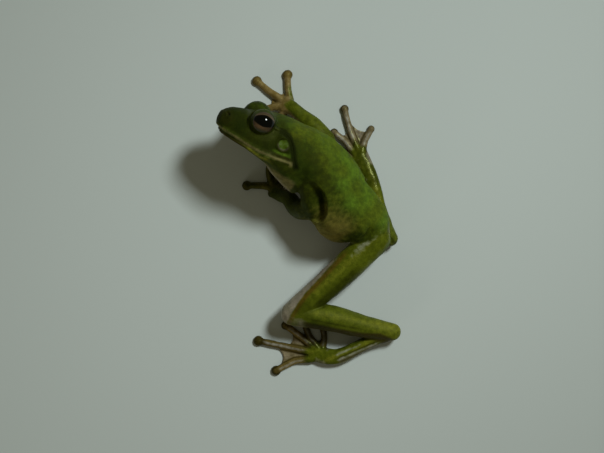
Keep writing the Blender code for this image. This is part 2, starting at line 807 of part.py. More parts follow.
def nodes_from(obj, seeds):
    """The nodes: each seed takes the nearest closed surface, and None the largest one left."""
    pieces = sorted(pieces_apart(obj), key=lambda piece: -len(piece[1]))
    for name, seed in seeds.items():
        index = 0
        if seed is not None:
            whole = [i for i, piece in enumerate(pieces) if len(piece[1]) > CRUMB]
            index = min(whole, key=lambda i: np.linalg.norm(pieces[i][0] - seed, axis=1).min())
        kind = name.removesuffix("_left").removesuffix("_right")
        node = mesh_object(name, *pieces.pop(index))
        reduced(node, BUDGETS[kind])
        finished(node, "skin_pale" if kind in ("hand", "foot") else "skin_green")


def straight_cut(name):
    start, end, share, radius = CUTS[name]
    return disc(between(start, end, share), joint(end) - joint(start), radius)


def mitre_cut(name):
    """Cutter through a bent joint, halfway between its limbs."""
    first, middle, last, back, reach = MITRES[name]
    one, two = unit(joint(first) - joint(middle)), unit(joint(last) - joint(middle))
    inward = unit(one + two)
    centre = joint(middle) + inward * (reach - back) / 2
    return disc(centre, one - two, (reach + back) / 2)


def near_trunk(points):
    """Share of the softening that each point takes: most along the trunk, none at head and hands."""
    path = smooth_rows([joint(row[0]) for row in TRUNK[1:-1]])
    gap = np.min(np.linalg.norm(points[:, None] - path[None], axis=2), axis=1)
    return np.clip((19.0 - gap) / 5.0, 0.0, 1.0)


def cut_all(obj, tools):
    for tool in tools:
        cut_by(obj, mesh_object("cutter", *tool))


def open_head(body):
    """Cuts the eye sockets, the nostrils and the hollows of the ears."""
    for side in (1, -1):
        centre, _, _, outward = ear_frame(side)
        nostril = ball(on_head(*NOSTRIL["at"], side), NOSTRIL["radius"], rings=8, around=12)
        hollow = disc(centre + outward, outward, TYMPANUM["radius"] - 0.35, 2.0)
        cut_all(body, [*eye_socket(side), nostril, hollow])


def knuckles(side):
    bases = np.mean([points[0] for points in FEET[side]], axis=0)
    return np.array((*bases, DIGIT["level"]))


def part_body(body):
    """Head, jaw, trunk and left leg."""
    neck = disc(in_head(NECK_CUT["at"]), head_axes()[0], NECK_CUT["radius"])
    straight = [straight_cut(name) for name in ("waist", "left_groin", "left_ankle")]
    bent = [mitre_cut(name) for name in ("left_knee", "left_heel")]
    cut_all(body, [neck, *straight, *bent, mouth_cutter()])
    seeds = {
        "head": in_head(HEAD_SEED),
        "lower_jaw": in_head(JAW_SEED),
        "foot_left": knuckles("left"),
        "tarsus_left": between("left_heel", "left_sole", 0.5),
        "shank_left": between("left_knee", "left_heel", 0.5),
        "thigh_left": between("left_hip", "left_knee", 0.6),
        "torso": None,
        "pelvis": joint("pelvis"),
    }
    nodes_from(body, seeds)


def part_right_leg(leg):
    bent = [mitre_cut(name) for name in ("right_knee", "right_heel")]
    cut_all(leg, [*bent, straight_cut("right_ankle")])
    seeds = {
        "foot_right": knuckles("right"),
        "tarsus_right": between("right_heel", "right_sole", 0.5),
        "thigh_right": between("right_hip", "right_knee", 0.2),
        "shank_right": between("right_knee", "right_heel", 0.8),
    }
    nodes_from(leg, seeds)


def part_arm(arm, side):
    elbow, wrist = side + "_elbow", side + "_wrist"
    cut_all(arm, [mitre_cut(elbow), straight_cut(wrist)])
    seeds = {
        "hand_" + side: joint(side + "_palm"),
        "forearm_" + side: between(elbow, wrist, 0.5),
        "upper_arm_" + side: between(side + "_shoulder", elbow, 0.4),
    }
    nodes_from(arm, seeds)


def eyeball(name, side):
    eye = mesh_object(name, *ball(in_head(EYE["at"], side), EYE["radius"], head_axes(), 14, 20))
    finished(eye, "eye_gloss")


def build():
    for obj in list(bpy.data.objects):
        bpy.data.objects.remove(obj)

    right_leg = grown("right_leg", leg_pieces("right"))
    right_arm = grown("right_arm", arm_pieces("right"))
    left_arm = grown("left_arm", arm_pieces("left"))
    body = grown("body", trunk_pieces() + head_pieces() + leg_pieces("left"))
    smoothed(body, TRUNK_SMOOTHINGS, near_trunk(points_of(body)))
    rest_on_floor(body)
    for limb in (right_leg, right_arm, left_arm):
        rest_on_floor(limb)
        cut_by(body, inflated(limb, LIMB_GAP))
    open_head(body)

    part_body(body)
    part_right_leg(right_leg)
    part_arm(right_arm, "right")
    part_arm(left_arm, "left")
    eyeball("eye_left", 1)
    eyeball("eye_right", -1)


build()
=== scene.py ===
"""White-lipped tree frog in a climbing pose, laid flat: its skin, eyes, floor, lights and camera.

Lengths are in millimetres until a mesh is made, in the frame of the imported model.
"""

from math import cos, pi, radians, sin

import bmesh
import bpy
import numpy as np
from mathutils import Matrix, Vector


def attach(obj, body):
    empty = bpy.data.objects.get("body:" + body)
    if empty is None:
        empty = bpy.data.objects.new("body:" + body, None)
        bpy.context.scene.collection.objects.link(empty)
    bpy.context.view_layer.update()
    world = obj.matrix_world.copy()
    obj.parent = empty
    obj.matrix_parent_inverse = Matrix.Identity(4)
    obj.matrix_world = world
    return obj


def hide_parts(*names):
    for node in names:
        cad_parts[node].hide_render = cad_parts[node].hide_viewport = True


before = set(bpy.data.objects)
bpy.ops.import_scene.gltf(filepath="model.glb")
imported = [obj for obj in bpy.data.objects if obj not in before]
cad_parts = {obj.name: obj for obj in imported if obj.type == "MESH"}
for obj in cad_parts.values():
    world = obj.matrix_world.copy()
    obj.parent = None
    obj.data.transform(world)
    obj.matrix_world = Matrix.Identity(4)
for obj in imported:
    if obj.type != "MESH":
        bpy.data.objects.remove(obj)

MM = 0.001
UP = (0, 0, 1)
SIDES = ("left", "right")

# Fineness
BODY_GRID = 0.27
AROUND = 48
DIGIT_AROUND = 16
FINE_AROUND = 12
STEPS = 9
CAP_RINGS = 7
SMOOTHINGS = 6
TRUNK_SMOOTHINGS = 60

# Skeleton
JOINTS = {
    "neck": (-4.2, 31.6, 20),
    "shoulders": (2.3, 27.2, 20),
    "chest": (8, 19.9, 19),
    "belly": (13.2, 9.5, 17),
    "loin": (21.6, 3.4, 15),
    "pelvis": (27.9, -3.2, 12.5),
    "vent": (31.4, -7.8, 11),
    "right_shoulder": (3.1, 28.5, 13.1),
    "right_elbow": (7.3, 37.1, 5.8),
    "right_forearm": (1, 43.6, 5),
    "right_wrist": (-6.3, 50.2, 4),
    "right_palm": (-11.4, 53.3, 2),
    "left_shoulder": (0.3, 18.2, 23.6),
    "left_elbow": (2.6, 6, 20.4),
    "left_forearm": (-5.4, 6.3, 11.5),
    "left_wrist": (-12.8, 12.4, 4),
    "left_palm": (-15.5, 14.7, 2),
    "left_hip": (29.3, -6.8, 11.5),
    "left_thigh": (13.4, -22.4, 11.5),
    "left_knee": (-7.3, -40.1, 10.5),
    "left_calf": (9, -42.2, 9.5),
    "left_heel": (37, -48.7, 5.4),
    "left_sole": (11.2, -60, 2.8),
    "right_hip": (30.2, -5, 10.5),
    "right_thigh": (22.3, 11.4, 9.5),
    "right_knee": (13.2, 28.6, 7.6),
    "right_calf": (22.8, 13.2, 6.6),
    "right_heel": (36.1, -7, 4.8),
    "right_sole": (26.9, 20.9, 2.8),
}

# Trunk sections: joint, half width, depth to the back, depth to the belly, roll in degrees
TRUNK = (
    ("neck", 13.2, 11, 11, 66),
    ("shoulders", 14.6, 10.5, 12, 52),
    ("chest", 15.5, 10.5, 12.5, 40),
    ("belly", 15.8, 11, 13, 28),
    ("loin", 12.2, 9, 11, 20),
    ("pelvis", 9.3, 7, 7.5, 12),
    ("vent", 4.8, 4.3, 4.3, 8),
)
TRUNK_POWER = 2.15
ABDOMEN = {"at": (13.8, 3.8, 14.5), "radii": (12.8, 12.8, 10.5)}
# Hollows in the trunk, behind the left arm and before the left thigh: place, radius
HOLLOWS = (
    ((0.3, 15, 31.5, 2.4), (1.3, 11.8, 29.3, 5.2), (1.4, 8.8, 28, 6.2), (1.4, 5.6, 26.5, 6.4)),
    ((28, 4.5, 24.4, 1.3), (27, -1, 22.6, 1.5), (25.6, -5, 20, 1.6), (22.8, -9, 18.8, 1.5)),
)

# Half sizes of the limbs, digits and pads, and sizes of the webs
ARM_RADII = {
    "left": {"shoulder": 6.4, "upper": 5.4, "elbow": 4.5, "fore": 4.2, "wrist": 3.1},
    "right": {"shoulder": 5.6, "upper": 4.6, "elbow": 4.1, "fore": 4.2, "wrist": 3.1},
}
LEG_RADII = {"hip": 7, "thigh": 6.6, "knee": 5.4, "calf": 5.9, "ankle": 3.6, "heel": 3.9}
# Slimness of thigh and shank
SLIM = {"left": (1, 1), "right": (0.8, 0.74)}
TARSUS = {"width": 2.9, "height": 2.3}
DIGIT = {"width": 1.65, "height": 1.25, "base": 1.9, "level": 1.05}
PAD = {"radius": 2.3, "height": 1.25, "level": 0.95}
WEB = {"thick": 0.85, "level": 0.75, "rows": 14, "columns": 10}

# Digits: points from base to pad on the floor plan, and the pad's size against a full one
HANDS = {
    "right": (
        ((-10.6, 50.6), (-13.4, 47.4), (-15.5, 43.4), 0.85),
        ((-13.7, 52.4), (-18.4, 51.4), (-23.6, 49.3), 0.9),
        ((-13.2, 55.6), (-18.6, 59.4), (-23.6, 63.7), 1),
        ((-8.8, 55.1), (-9.7, 60.5), (-9.9, 66.4), 1.05),
    ),
    "left": (
        ((-12.8, 16.1), (-9.6, 19.2), (-7, 23.2), 0.85),
        ((-15, 17), (-13.2, 22.6), (-10.9, 28), 0.9),
        ((-16.8, 17.4), (-18.2, 22.8), (-17.2, 28.8), 1),
        ((-16.8, 16.1), (-22.2, 16.7), (-28.1, 16.7), 1),
    ),
}
FEET = {
    "left": (
        ((5.6, -57.1), (6.6, -52.4), (6.1, -47.3), 0.7),
        ((3.8, -56.3), (0.2, -51.2), (-2.5, -45), 0.8),
        ((2.5, -56.7), (-2.9, -51.8), (-10.8, -46.1), 0.9),
        ((1.1, -58), (-8.8, -56), (-22.9, -53.1), 1.05),
        ((0.6, -61.2), (-6.5, -62.1), (-15, -66.4), 1),
    ),
    "right": (
        ((20.6, 25.3), (18.8, 24.6), (16.2, 22.8), 0.7),
        ((19.8, 28), (16, 30.6), (11.9, 31.8), 0.75),
        ((20.3, 30.7), (16.2, 36.3), (11, 40.5), 0.85),
        ((21.7, 32.7), (18.3, 41.2), (15.7, 51.1), 0.85),
        ((23.7, 32.2), (24.9, 36.7), (27.7, 42.1), 0.75),
    ),
}
# Webs from the first pair of digits to the last: reach along each digit, and hollow of the edge
HAND_WEBS = ((0.5, 0.4, 0.3), (0.5, 0.4, 0.25), (0.4, 0.36, 0.3))
FOOT_WEBS = ((0.6, 0.5, 0.3), (0.7, 0.6, 0.25), (0.86, 0.56, 0.15), (0.76, 0.88, 0.15))

# Head: its origin is on the middle plane between the corners of the mouth
HEAD_AT = (-7.8, 32.4, 22)
HEAD_FORWARD = (-0.9105, 0.3314, 0.2475)
HEAD_LEFT = (0.16, -0.27, 0.95)
# Distance forward, half width, crown, widest level, throat
HEAD_ROWS = (
    (-8, 12.8, 11, -4.5, -17.5),
    (-1, 15, 11.6, -3.7, -14.6),
    (6.5, 15.9, 12, -3.7, -11),
    (12, 15.6, 11.7, -4.1, -9),
    (17.5, 14.3, 10.5, -4.1, -7.4),
    (23, 11.9, 9, -3.4, -5.9),
    (28, 9.2, 8, -2.3, -4.9),
    (31.5, 7, 6.9, -0.8, -4),
    (33.8, 4.9, 5, 0.9, -2),
)
HEAD_POWER = 2.35
HEAD_DOMES = (0.4, 0.36)
HEAD_ENDS = (-4, 36)
# Mouth line: distance forward, height
MOUTH = ((-6, -4), (0, -3.6), (6.5, -3.7), (15.3, -4.2), (24.2, -3.3), (29.4, -2.6), (33, -2.2), (40, -1.8))
LIP = {"radius": 0.95, "offset": 1, "back": 1, "front": 32, "steps": 14}
EYE = {"at": (18, 10.1, 7.1), "radius": 5.35, "lid": 0.8, "aim": (0.10, 0.95, 0.30)}
# The ear's membrane, with a ring round it
TYMPANUM = {"at": (7.3, 2.3), "radius": 2.9, "rim": 0.55, "sunk": 0.25, "lean": 0.28}
RING = {"turns": 24, "around": 10}
# Fold over the ear: distance forward, height
FOLD = ((12.2, 7), (8.8, 6.6), (5.6, 5.6), (3, 2.7), (1, -1.4), (-1.4, -4.4))
FOLD_RADIUS = 1
NOSTRIL = (32.2, 4.6)
SNOUT = (33.5, 3.5)

# Half length and half heights of the lids' opening, and the lip's height over the eyeball
LID = {"long": 5.25, "tall_above": 4.3, "tall_below": 5, "lip": 0.14}
IRIS = {"raised": 0.1, "pupil_long": 4.9, "pupil_tall": 2.45, "cornea": 0.22}
# Line of the fold behind the ear and of the edge from eye to nostril: distance forward, height
FOLD_LINE = ((12.2, 7.3), (8.5, 7), (5.6, 5.8), (3.1, 2.7), (0.8, -1.5), (-1.2, -4.4), (-3, -7.2))
CANTHUS = ((23.5, 7), (27, 6.9), (31.5, 6.2))
# Shift of the mouth's visible line from the cut between head and jaw: distance forward, height
MOUTH_SHIFT = ((0, -1.2), (7, -1.35), (11.5, -0.8), (20, -0.75), (25, -0.55), (30, -0.5), (35, -0.4))

# Heights of the skin's relief, and depths with a minus
RELIEF = {
    "mouth": -0.14, "lip": 0.16, "throat": 1.3, "nostril": -0.75, "nostril_rim": 0.16, "canthus": 0.22,
    "ear": -0.22, "ear_rim": 0.1, "ear_middle": 0.12, "fold": -0.75, "fold_ridge": 0.45,
    "digit": 0.3, "web": -0.3, "trunk": 0.2, "trunk_fine": 0.09, "limb": 0.07,
}
# Distance from the trunk's middle line where the softening ends, and width of its fade
SOFT_REACH = 19
SOFT_FADE = 5

# Softness of the joins between regions of the skin
REGION_BLUR = 0.45
# Borders of colours: share along the trunk or leg, or distance forward on the head, and place across
BELLY_BORDER = ((0, 0.25, 0.45, 0.65, 0.85, 1), (-0.8, -0.78, -0.6, -0.3, -0.2, -0.3))
THROAT_BORDER = ((-8, 0, 12, 24, 34), (-6.5, -6, -4.2, -2.6, -2))
THIGH_BORDER = ((0.3, 0.6, 0.8, 0.9, 1, 1.1), (0.82, 0.62, 0.5, 0.34, 0.12, -0.15))
SHANK_BORDER = ((0.1, 0.45, 0.7, 0.87, 1), (0.38, 0.42, 0.4, 0.2, 0.45))
# Depth of the lime edge under the mouth, and half width and strength of the pale lip over it
LIME_DEPTH = ((12, 16, 19), (1.6, 1.3, 0.5))
LIP_WIDTH = ((0, 6, 30, 35), (0.8, 0.7, 0.6, 0.5))
LIP_STRENGTH = ((5, 25, 33), (1, 0.9, 0.6))

# Colours
PAINT = {
    "green": (0.024, 0.04, 0.0025, 1),
    "leaf": (0.045, 0.056, 0.003, 1),
    "sea": (0.02, 0.06, 0.008, 1),
    # Bright green: on the back partly painted light on the side turned to the lamp.
    "bright": (0.085, 0.15, 0.01, 1),
    "limb": (0.088, 0.108, 0.006, 1),
    "olive": (0.15, 0.13, 0.025, 1),
    "rust": (0.11, 0.075, 0.008, 1),
    "lime": (0.19, 0.195, 0.016, 1),
    "pale": (0.16, 0.14, 0.05, 1),
    "flesh": (0.22, 0.155, 0.045, 1),
    "rosy": (0.27, 0.235, 0.175, 1),
    "brown": (0.04, 0.03, 0.006, 1),
    "lip": (0.19, 0.17, 0.062, 1),
    # Pale grey white: the ear's pale middle, and painted highlights on the legs and digits.
    "pale_and_highlight": (0.42, 0.43, 0.4, 1),
    # Near black: dark lines of the skin, and painted shade on the head, flank, limbs and feet.
    "dark": (0.004, 0.0065, 0.0005, 1),
    "iris": (0.15, 0.085, 0.04, 1),
    "iris_dark": (0.05, 0.035, 0.018, 1),
    "iris_low": (0.04, 0.05, 0.024, 1),
    "iris_rim": (0.17, 0.13, 0.07, 1),
    "pupil": (0.0008, 0.0015, 0.0008, 1),
}
# The colours that are laid over green and leaf, one over the other
LAYERS = ("bright", "limb", "olive", "lime", "rust", "pale", "flesh", "rosy", "brown", "lip", "pale_and_highlight")

# Finish: sizes of the patterns, and what is the same all over a surface
GRAIN = {"broad": 9, "patch": 4.5, "middle": 2, "fine": 0.45, "pores": 0.6, "flecks": 0.35}
ROUGHNESS = {"wet": 0.22, "dull": 0.78}
SKIN_FINISH = {
    "Specular IOR Level": 0.16,
    "Specular Tint": (0.95, 1, 0.35, 1),
    "Subsurface Weight": 0.08,
    "Subsurface Radius": (0.0012, 0.0012, 0.0004),
}
EYE_FINISH = {"Roughness": 0.5, "Specular IOR Level": 0, "Coat Weight": 0.6, "Coat Roughness": 0.03}
FLOOR_FINISH = {"Base Color": (0.61, 0.67, 0.65, 1), "Roughness": 0.8}
FLOOR_HALF = 3

# Stage: the camera, in millimetres
CAMERA = {"x": -3.37, "y": -1.68, "height": 600, "pixel": 0.45, "pixels": 604}
SENSOR = 36
# A light's name, place in metres, watts, size in metres, colour, and spread in degrees
LIGHTS = (
    ("key", (0.507, 0.482, 0.849), 0.66, 0.2, (0.93, 1, 0.98), 54),
    ("fill", (-0.6, -0.8, 0.16), 1.4, 0.4, (1, 0.97, 0.85), 180),
)
LIGHT_TARGET = (-0.02, -0.01, 0)
WORLD = {"Color": (1, 0.9, 0.6, 1), "Strength": 0.1}


def unit(vectors):
    vectors = np.asarray(vectors, float)
    return vectors / np.linalg.norm(vectors, axis=-1, keepdims=True)


def joints(side, *names):
    return [np.array(JOINTS[side + "_" + name]) for name in names]


def smooth_rows(rows, steps=STEPS):
    """Rows of numbers drawn out along a smooth curve. The first three of a row are its place."""
    rows = np.asarray(rows, float)
    gaps = np.linalg.norm(np.diff(rows[:, :3], axis=0), axis=1)
    slopes = np.diff(rows, axis=0) / gaps[:, None]
    tangents = np.empty_like(rows)
    tangents[0], tangents[-1] = slopes[0], slopes[-1]
    before, after = gaps[:-1, None], gaps[1:, None]
    tangents[1:-1] = (slopes[:-1] * after + slopes[1:] * before) / (before + after)
    drawn = []
    for index, gap in enumerate(gaps):
        share = np.linspace(0, 1, steps, endpoint=False)[:, None]
        square, cube = share**2, share**3
        drawn.append(
            (2 * cube - 3 * square + 1) * rows[index]
            + (cube - 2 * square + share) * gap * tangents[index]
            + (3 * square - 2 * cube) * rows[index + 1]
            + (cube - square) * gap * tangents[index + 1]
        )
    return np.vstack(drawn + [rows[-1:]])


def tube(rows, ups=UP, power=2, steps=STEPS, around=AROUND, domed=(1, 1), facing=None):
    """Closed skin round a smooth path. A row is a place, half width, height above and below.

    Its rings stand square to the path, or all face one way.
    """
    rows = np.asarray(rows, float)
    ups = np.broadcast_to(np.asarray(ups, float), (len(rows), 3))
    drawn = smooth_rows(np.hstack([rows, ups]), steps)
    centres, sizes, ups = drawn[:, :3], drawn[:, 3:6], drawn[:, 6:9]
    tangents = unit(np.gradient(centres, axis=0))
    if facing is not None:
        tangents[:] = facing
    caps, poles = [], []
    for dome, end, sign in ((domed[0], 0, -1), (domed[1], -1, 1)):
        centre, size, up, tangent = centres[end], sizes[end], ups[end], tangents[end]
        out = sign * tangent * (dome * size.mean())
        turns = np.arange(1, CAP_RINGS) / CAP_RINGS * pi / 2
        caps.append([(centre + out * sin(t), size * cos(t), up, tangent) for t in turns])
        poles.append(centre + out)
    angles = np.linspace(0, 2 * pi, around, endpoint=False)
    across = np.sign(np.cos(angles)) * np.abs(np.cos(angles)) ** (2 / power)
    upward = np.sign(np.sin(angles)) * np.abs(np.sin(angles)) ** (2 / power)
    rings = []
    rows = caps[0][::-1] + list(zip(centres, sizes, ups, tangents)) + caps[1]
    for centre, (half, above, below), up, tangent in rows:
        side = unit(np.cross(tangent, up))
        top = unit(np.cross(side, tangent))
        height = np.where(upward > 0, above, below) * upward
        rings.append(centre + np.outer(across * half, side) + np.outer(height, top))
    count = len(rings)
    faces = ring_faces(count, count - 1, around)
    last = (count - 1) * around
    for step in range(around):
        after = (step + 1) % around
        faces.append((count * around, after, step))
        faces.append((count * around + 1, last + step, last + after))
    return np.vstack(rings + [poles]), faces


def ring_faces(count, rows, around):
    """Faces of so many rows between rings of points. After the last ring comes the first."""
    faces = []
    for row in range(rows):
        low, high = row * around, (row + 1) % count * around
        for step in range(around):
            after = (step + 1) % around
            faces.append((low + step, low + after, high + after, high + step))
    return faces


def ball(centre, radii, axes=None, rings=14, around=24):
    """Ellipsoid with its radii along the rows of axes."""
    axes = np.eye(3) if axes is None else np.asarray(axes, float)
    shell = bmesh.new()
    bmesh.ops.create_uvsphere(shell, u_segments=around, v_segments=rings, radius=1)
    points = np.array([vertex.co[:] for vertex in shell.verts])
    faces = [[vertex.index for vertex in face.verts] for face in shell.faces]
    shell.free()
    return (points * np.asarray(radii, float)) @ axes + centre, faces


def level_row(place, width, height=None):
    height = width if height is None else height
    return (*place, width, height, height)


def placed(name, data):
    obj = bpy.data.objects.new(name, data)
    bpy.context.scene.collection.objects.link(obj)
    return obj


def mesh_object(name, points, faces):
    mesh = bpy.data.meshes.new(name)
    mesh.from_pydata((np.asarray(points) * MM).tolist(), [], [list(face) for face in faces])
    shell = bmesh.new()
    shell.from_mesh(mesh)
    bmesh.ops.recalc_face_normals(shell, faces=shell.faces)
    if shell.calc_volume(signed=True) < 0:
        bmesh.ops.reverse_faces(shell, faces=shell.faces)
    shell.to_mesh(mesh)
    shell.free()
    return placed(name, mesh)


def settle(obj):
    """Replaces the object's mesh with what its modifiers make of it."""
    bpy.context.view_layer.update()
    graph = bpy.context.evaluated_depsgraph_get()
    made = bpy.data.meshes.new_from_object(obj.evaluated_get(graph))
    obj.modifiers.clear()
    obj.data = made


def values_of(obj, name):
    values = np.empty(len(obj.data.vertices) * 3)
    obj.data.vertices.foreach_get(name, values)
    return values.reshape(-1, 3)


def points_of(obj):
    return values_of(obj, "co") / MM


def set_points(obj, points):
    obj.data.vertices.foreach_set("co", (points * MM).ravel())
    obj.data.update()


def add_layer(obj, name, values):
    layer = obj.data.attributes.new(name, "FLOAT", "POINT")
    layer.data.foreach_set("value", values.astype(np.float32))


def smoothed(obj, rounds, share):
    """Draws each point towards its neighbours, by its own share."""
    points = points_of(obj)
    edges = np.empty(len(obj.data.edges) * 2, np.int64)
    obj.data.edges.foreach_get("vertices", edges)
    first, second = edges.reshape(-1, 2).T
    degree = np.bincount(edges, minlength=len(points))[:, None]
    for _ in range(rounds):
        total = np.zeros_like(points)
        for axis in range(3):
            total[:, axis] = np.bincount(first, points[second, axis], len(points))
            total[:, axis] += np.bincount(second, points[first, axis], len(points))
        points = points + 0.5 * share[:, None] * (total / degree - points)
    set_points(obj, points)


def carved(piece, cutters):
    """Points and faces of a piece less its cutters."""
    obj = mesh_object("carved", *piece)
    for cutter in cutters:
        tool = mesh_object("tool", *cutter)
        boolean = obj.modifiers.new("cut", "BOOLEAN")
        boolean.operation = "DIFFERENCE"
        boolean.solver = "MANIFOLD"
        boolean.object = tool
        settle(obj)
        bpy.data.objects.remove(tool)
    points = points_of(obj)
    faces = [list(polygon.vertices) for polygon in obj.data.polygons]
    bpy.data.objects.remove(obj)
    return points, faces


def trunk_rows():
    """Place of each trunk section, its direction to the back and its half sizes."""
    rows = []
    path = np.array([JOINTS[row[0]] for row in TRUNK])
    headings = unit(-np.gradient(path, axis=0))
    for place, heading, (_, *sizes, roll) in zip(path, headings, TRUNK):
        to_right = unit(np.cross(heading, UP))
        rise = unit(np.cross(to_right, heading))
        turn = radians(roll)
        rows.append((*place, *(cos(turn) * rise + sin(turn) * to_right), *sizes))
    return np.array(rows)


def trunk_pieces():
    rows = trunk_rows()
    hollows = [tube([level_row(row[:3], row[3]) for row in line], (1, 0, 0)) for line in HOLLOWS]
    trunk = tube(np.hstack([rows[:, :3], rows[:, 6:]]), rows[:, 3:6], power=TRUNK_POWER)
    return [carved(piece, hollows) for piece in (trunk, ball(ABDOMEN["at"], ABDOMEN["radii"]))]


def head_axes():
    forward = unit(HEAD_FORWARD)
    left = np.asarray(HEAD_LEFT, float)
    left = unit(left - forward * (left @ forward))
    return np.array([forward, left, np.cross(forward, left)])


def head_direction(vector, side):
    """A vector in the head's own frame, to its left for side 1 and its right for side -1."""
    return np.array(vector) * (1, side, 1) @ head_axes()


def in_head(place, side=1):
    return np.array(HEAD_AT) + head_direction(place, side)


def head_section(forward):
    """Half width, crown, widest level and throat at a distance forward."""
    table = np.array(HEAD_ROWS)
    return [np.interp(forward, table[:, 0], column) for column in table[:, 1:].T]


def head_side(forward, height):
    """Half width of the head at a height."""
    half, crown, level, throat = head_section(forward)
    span = crown - level if height > level else level - throat
    share = min(abs(height - level) / span, 1)
    return half * (1 - share**HEAD_POWER) ** (1 / HEAD_POWER)


def on_head(forward, height, side, sunk=0):
    """A place on the side of the head, or sunk below its skin."""
    return in_head((forward, head_side(forward, height) - sunk, height), side)


def aimed_frame(centre, aim, side):
    """A place on the head with its directions forward, up and outward."""
    forward = unit(head_axes()[0] - aim * (head_axes()[0] @ aim))
    return centre, forward, np.cross(forward, aim) * side, aim


def head_pieces():
    forward, left, up = head_axes()
    rows = []
    for distance, half, crown, level, throat in HEAD_ROWS:
        rows.append((*in_head((distance, 0, level)), half, crown - level, level - throat))
    pieces = [tube(rows, up, power=HEAD_POWER, domed=HEAD_DOMES, facing=forward)]
    for side in (1, -1):
        axes = np.array([forward, left * side, up])
        lid = EYE["radius"] + EYE["lid"]
        pieces.append(ball(in_head(EYE["at"], side), (lid * 1.04, lid, lid * 0.97), axes))
        for offset in (LIP["offset"], -LIP["offset"]):
            pieces.append(lip(side, offset))
        fold = [level_row(on_head(*place, side, 0.15), FOLD_RADIUS) for place in FOLD]
        pieces.append(tube(fold, up, around=FINE_AROUND))
        pieces.append(rim_of_tympanum(side))
    return pieces


def mouth_height(forward):
    return np.interp(forward, *np.array(MOUTH).T)


def lip(side, offset):
    rows = []
    for distance in np.linspace(LIP["back"], LIP["front"], LIP["steps"]):
        height = mouth_height(distance) + offset
        out = head_side(distance, height) - 0.45 * LIP["radius"]
        rows.append(level_row(in_head((distance, out, height), side), LIP["radius"]))
    return tube(rows, head_axes()[2], around=FINE_AROUND, steps=2)


def rim_of_tympanum(side):
    """Ring round the ear's membrane."""
    centre = on_head(*TYMPANUM["at"], side, TYMPANUM["sunk"])
    aim = unit(head_direction((0, 1, TYMPANUM["lean"]), side))
    centre, forward, up, outward = aimed_frame(centre, aim, side)
    turns, around = RING["turns"], RING["around"]
    rings = []
    for turn in np.linspace(0, 2 * pi, turns, endpoint=False):
        spoke = cos(turn) * forward - sin(turn) * up
        angles = np.linspace(0, 2 * pi, around, endpoint=False)
        circle = np.outer(np.cos(angles), spoke) + np.outer(np.sin(angles), outward)
        rings.append(centre + spoke * TYMPANUM["radius"] + TYMPANUM["rim"] * circle)
    return np.vstack(rings), ring_faces(turns, turns, around)


def digit(points, scale):
    """A finger or toe with its flat round pad."""
    base, middle, tip = (np.array((*point, DIGIT["level"])) for point in points)
    width, height = DIGIT["width"], DIGIT["height"]
    rows = [
        level_row(base + (0, 0, 0.5), DIGIT["base"], height * 1.25),
        level_row(middle, width * (0.75 + 0.25 * scale), height),
        level_row(tip, width * (0.7 + 0.25 * scale), height * 0.95),
    ]
    along = unit(tip - middle)
    across = unit(np.cross(UP, along))
    radius = PAD["radius"] * scale
    axes = (along, across, UP)
    pad = ball((tip[0], tip[1], PAD["level"]), (radius, radius, PAD["height"]), axes)
    return [tube(rows, around=DIGIT_AROUND), pad]


def web(first, second, first_reach, second_reach, hollow):
    """Thin level skin between two digits, with a hollow free edge."""
    count, across = WEB["rows"], WEB["columns"]
    edges = []
    for points, reach in ((first, first_reach), (second, second_reach)):
        line = smooth_rows([(*point, WEB["level"]) for point in points], 8)
        places = np.linspace(0, reach * (len(line) - 1), count)
        edges.append([np.interp(places, range(len(line)), line[:, axis]) for axis in range(3)])
    grid = np.empty((count, across + 1, 3))
    for step in range(across + 1):
        share = step / across
        dip = 1 - hollow * sin(pi * share)
        places = np.linspace(0, (count - 1) * dip, count)
        for axis in range(3):
            one, two = (np.interp(places, range(count), edge[axis]) for edge in edges)
            grid[:, step, axis] = one * (1 - share) + two * share
    offset = np.array((0, 0, WEB["thick"] / 2))
    rings = np.concatenate([grid + offset, (grid - offset)[:, ::-1]], axis=1)
    around = 2 * (across + 1)
    faces = ring_faces(count, count - 1, around)
    for start in (0, (count - 1) * around):
        for step in range(across):
            one, two = start + step, start + around - 1 - step
            faces.append((one, one + 1, two - 1, two))
    return rings.reshape(-1, 3), faces


def arm_pieces(side):
    shoulder, elbow, fore, wrist, palm = joints(side, "shoulder", "elbow", "forearm", "wrist", "palm")
    sizes = ARM_RADII[side]
    middle = level_row((shoulder + elbow) / 2, sizes["upper"])
    bend = level_row(elbow, sizes["elbow"])
    upper = [level_row(shoulder, sizes["shoulder"]), middle, bend]
    lower = [
        bend,
        level_row(fore, sizes["fore"], sizes["fore"] * 0.92),
        level_row(elbow * 0.2 + wrist * 0.8, sizes["wrist"] + 0.4, sizes["wrist"]),
        level_row(wrist, sizes["wrist"], sizes["wrist"] * 0.85),
        level_row(palm, sizes["wrist"] + 0.9, 2),
    ]
    pieces = [tube(upper, (0, 0.4, 1)), tube(lower)]
    for *points, scale in HANDS[side]:
        pieces += digit(points, scale)
    return pieces + webs(HANDS[side], HAND_WEBS)


def webs(digits, rows):
    return [web(one[:3], two[:3], *row) for one, two, row in zip(digits, digits[1:], rows)]


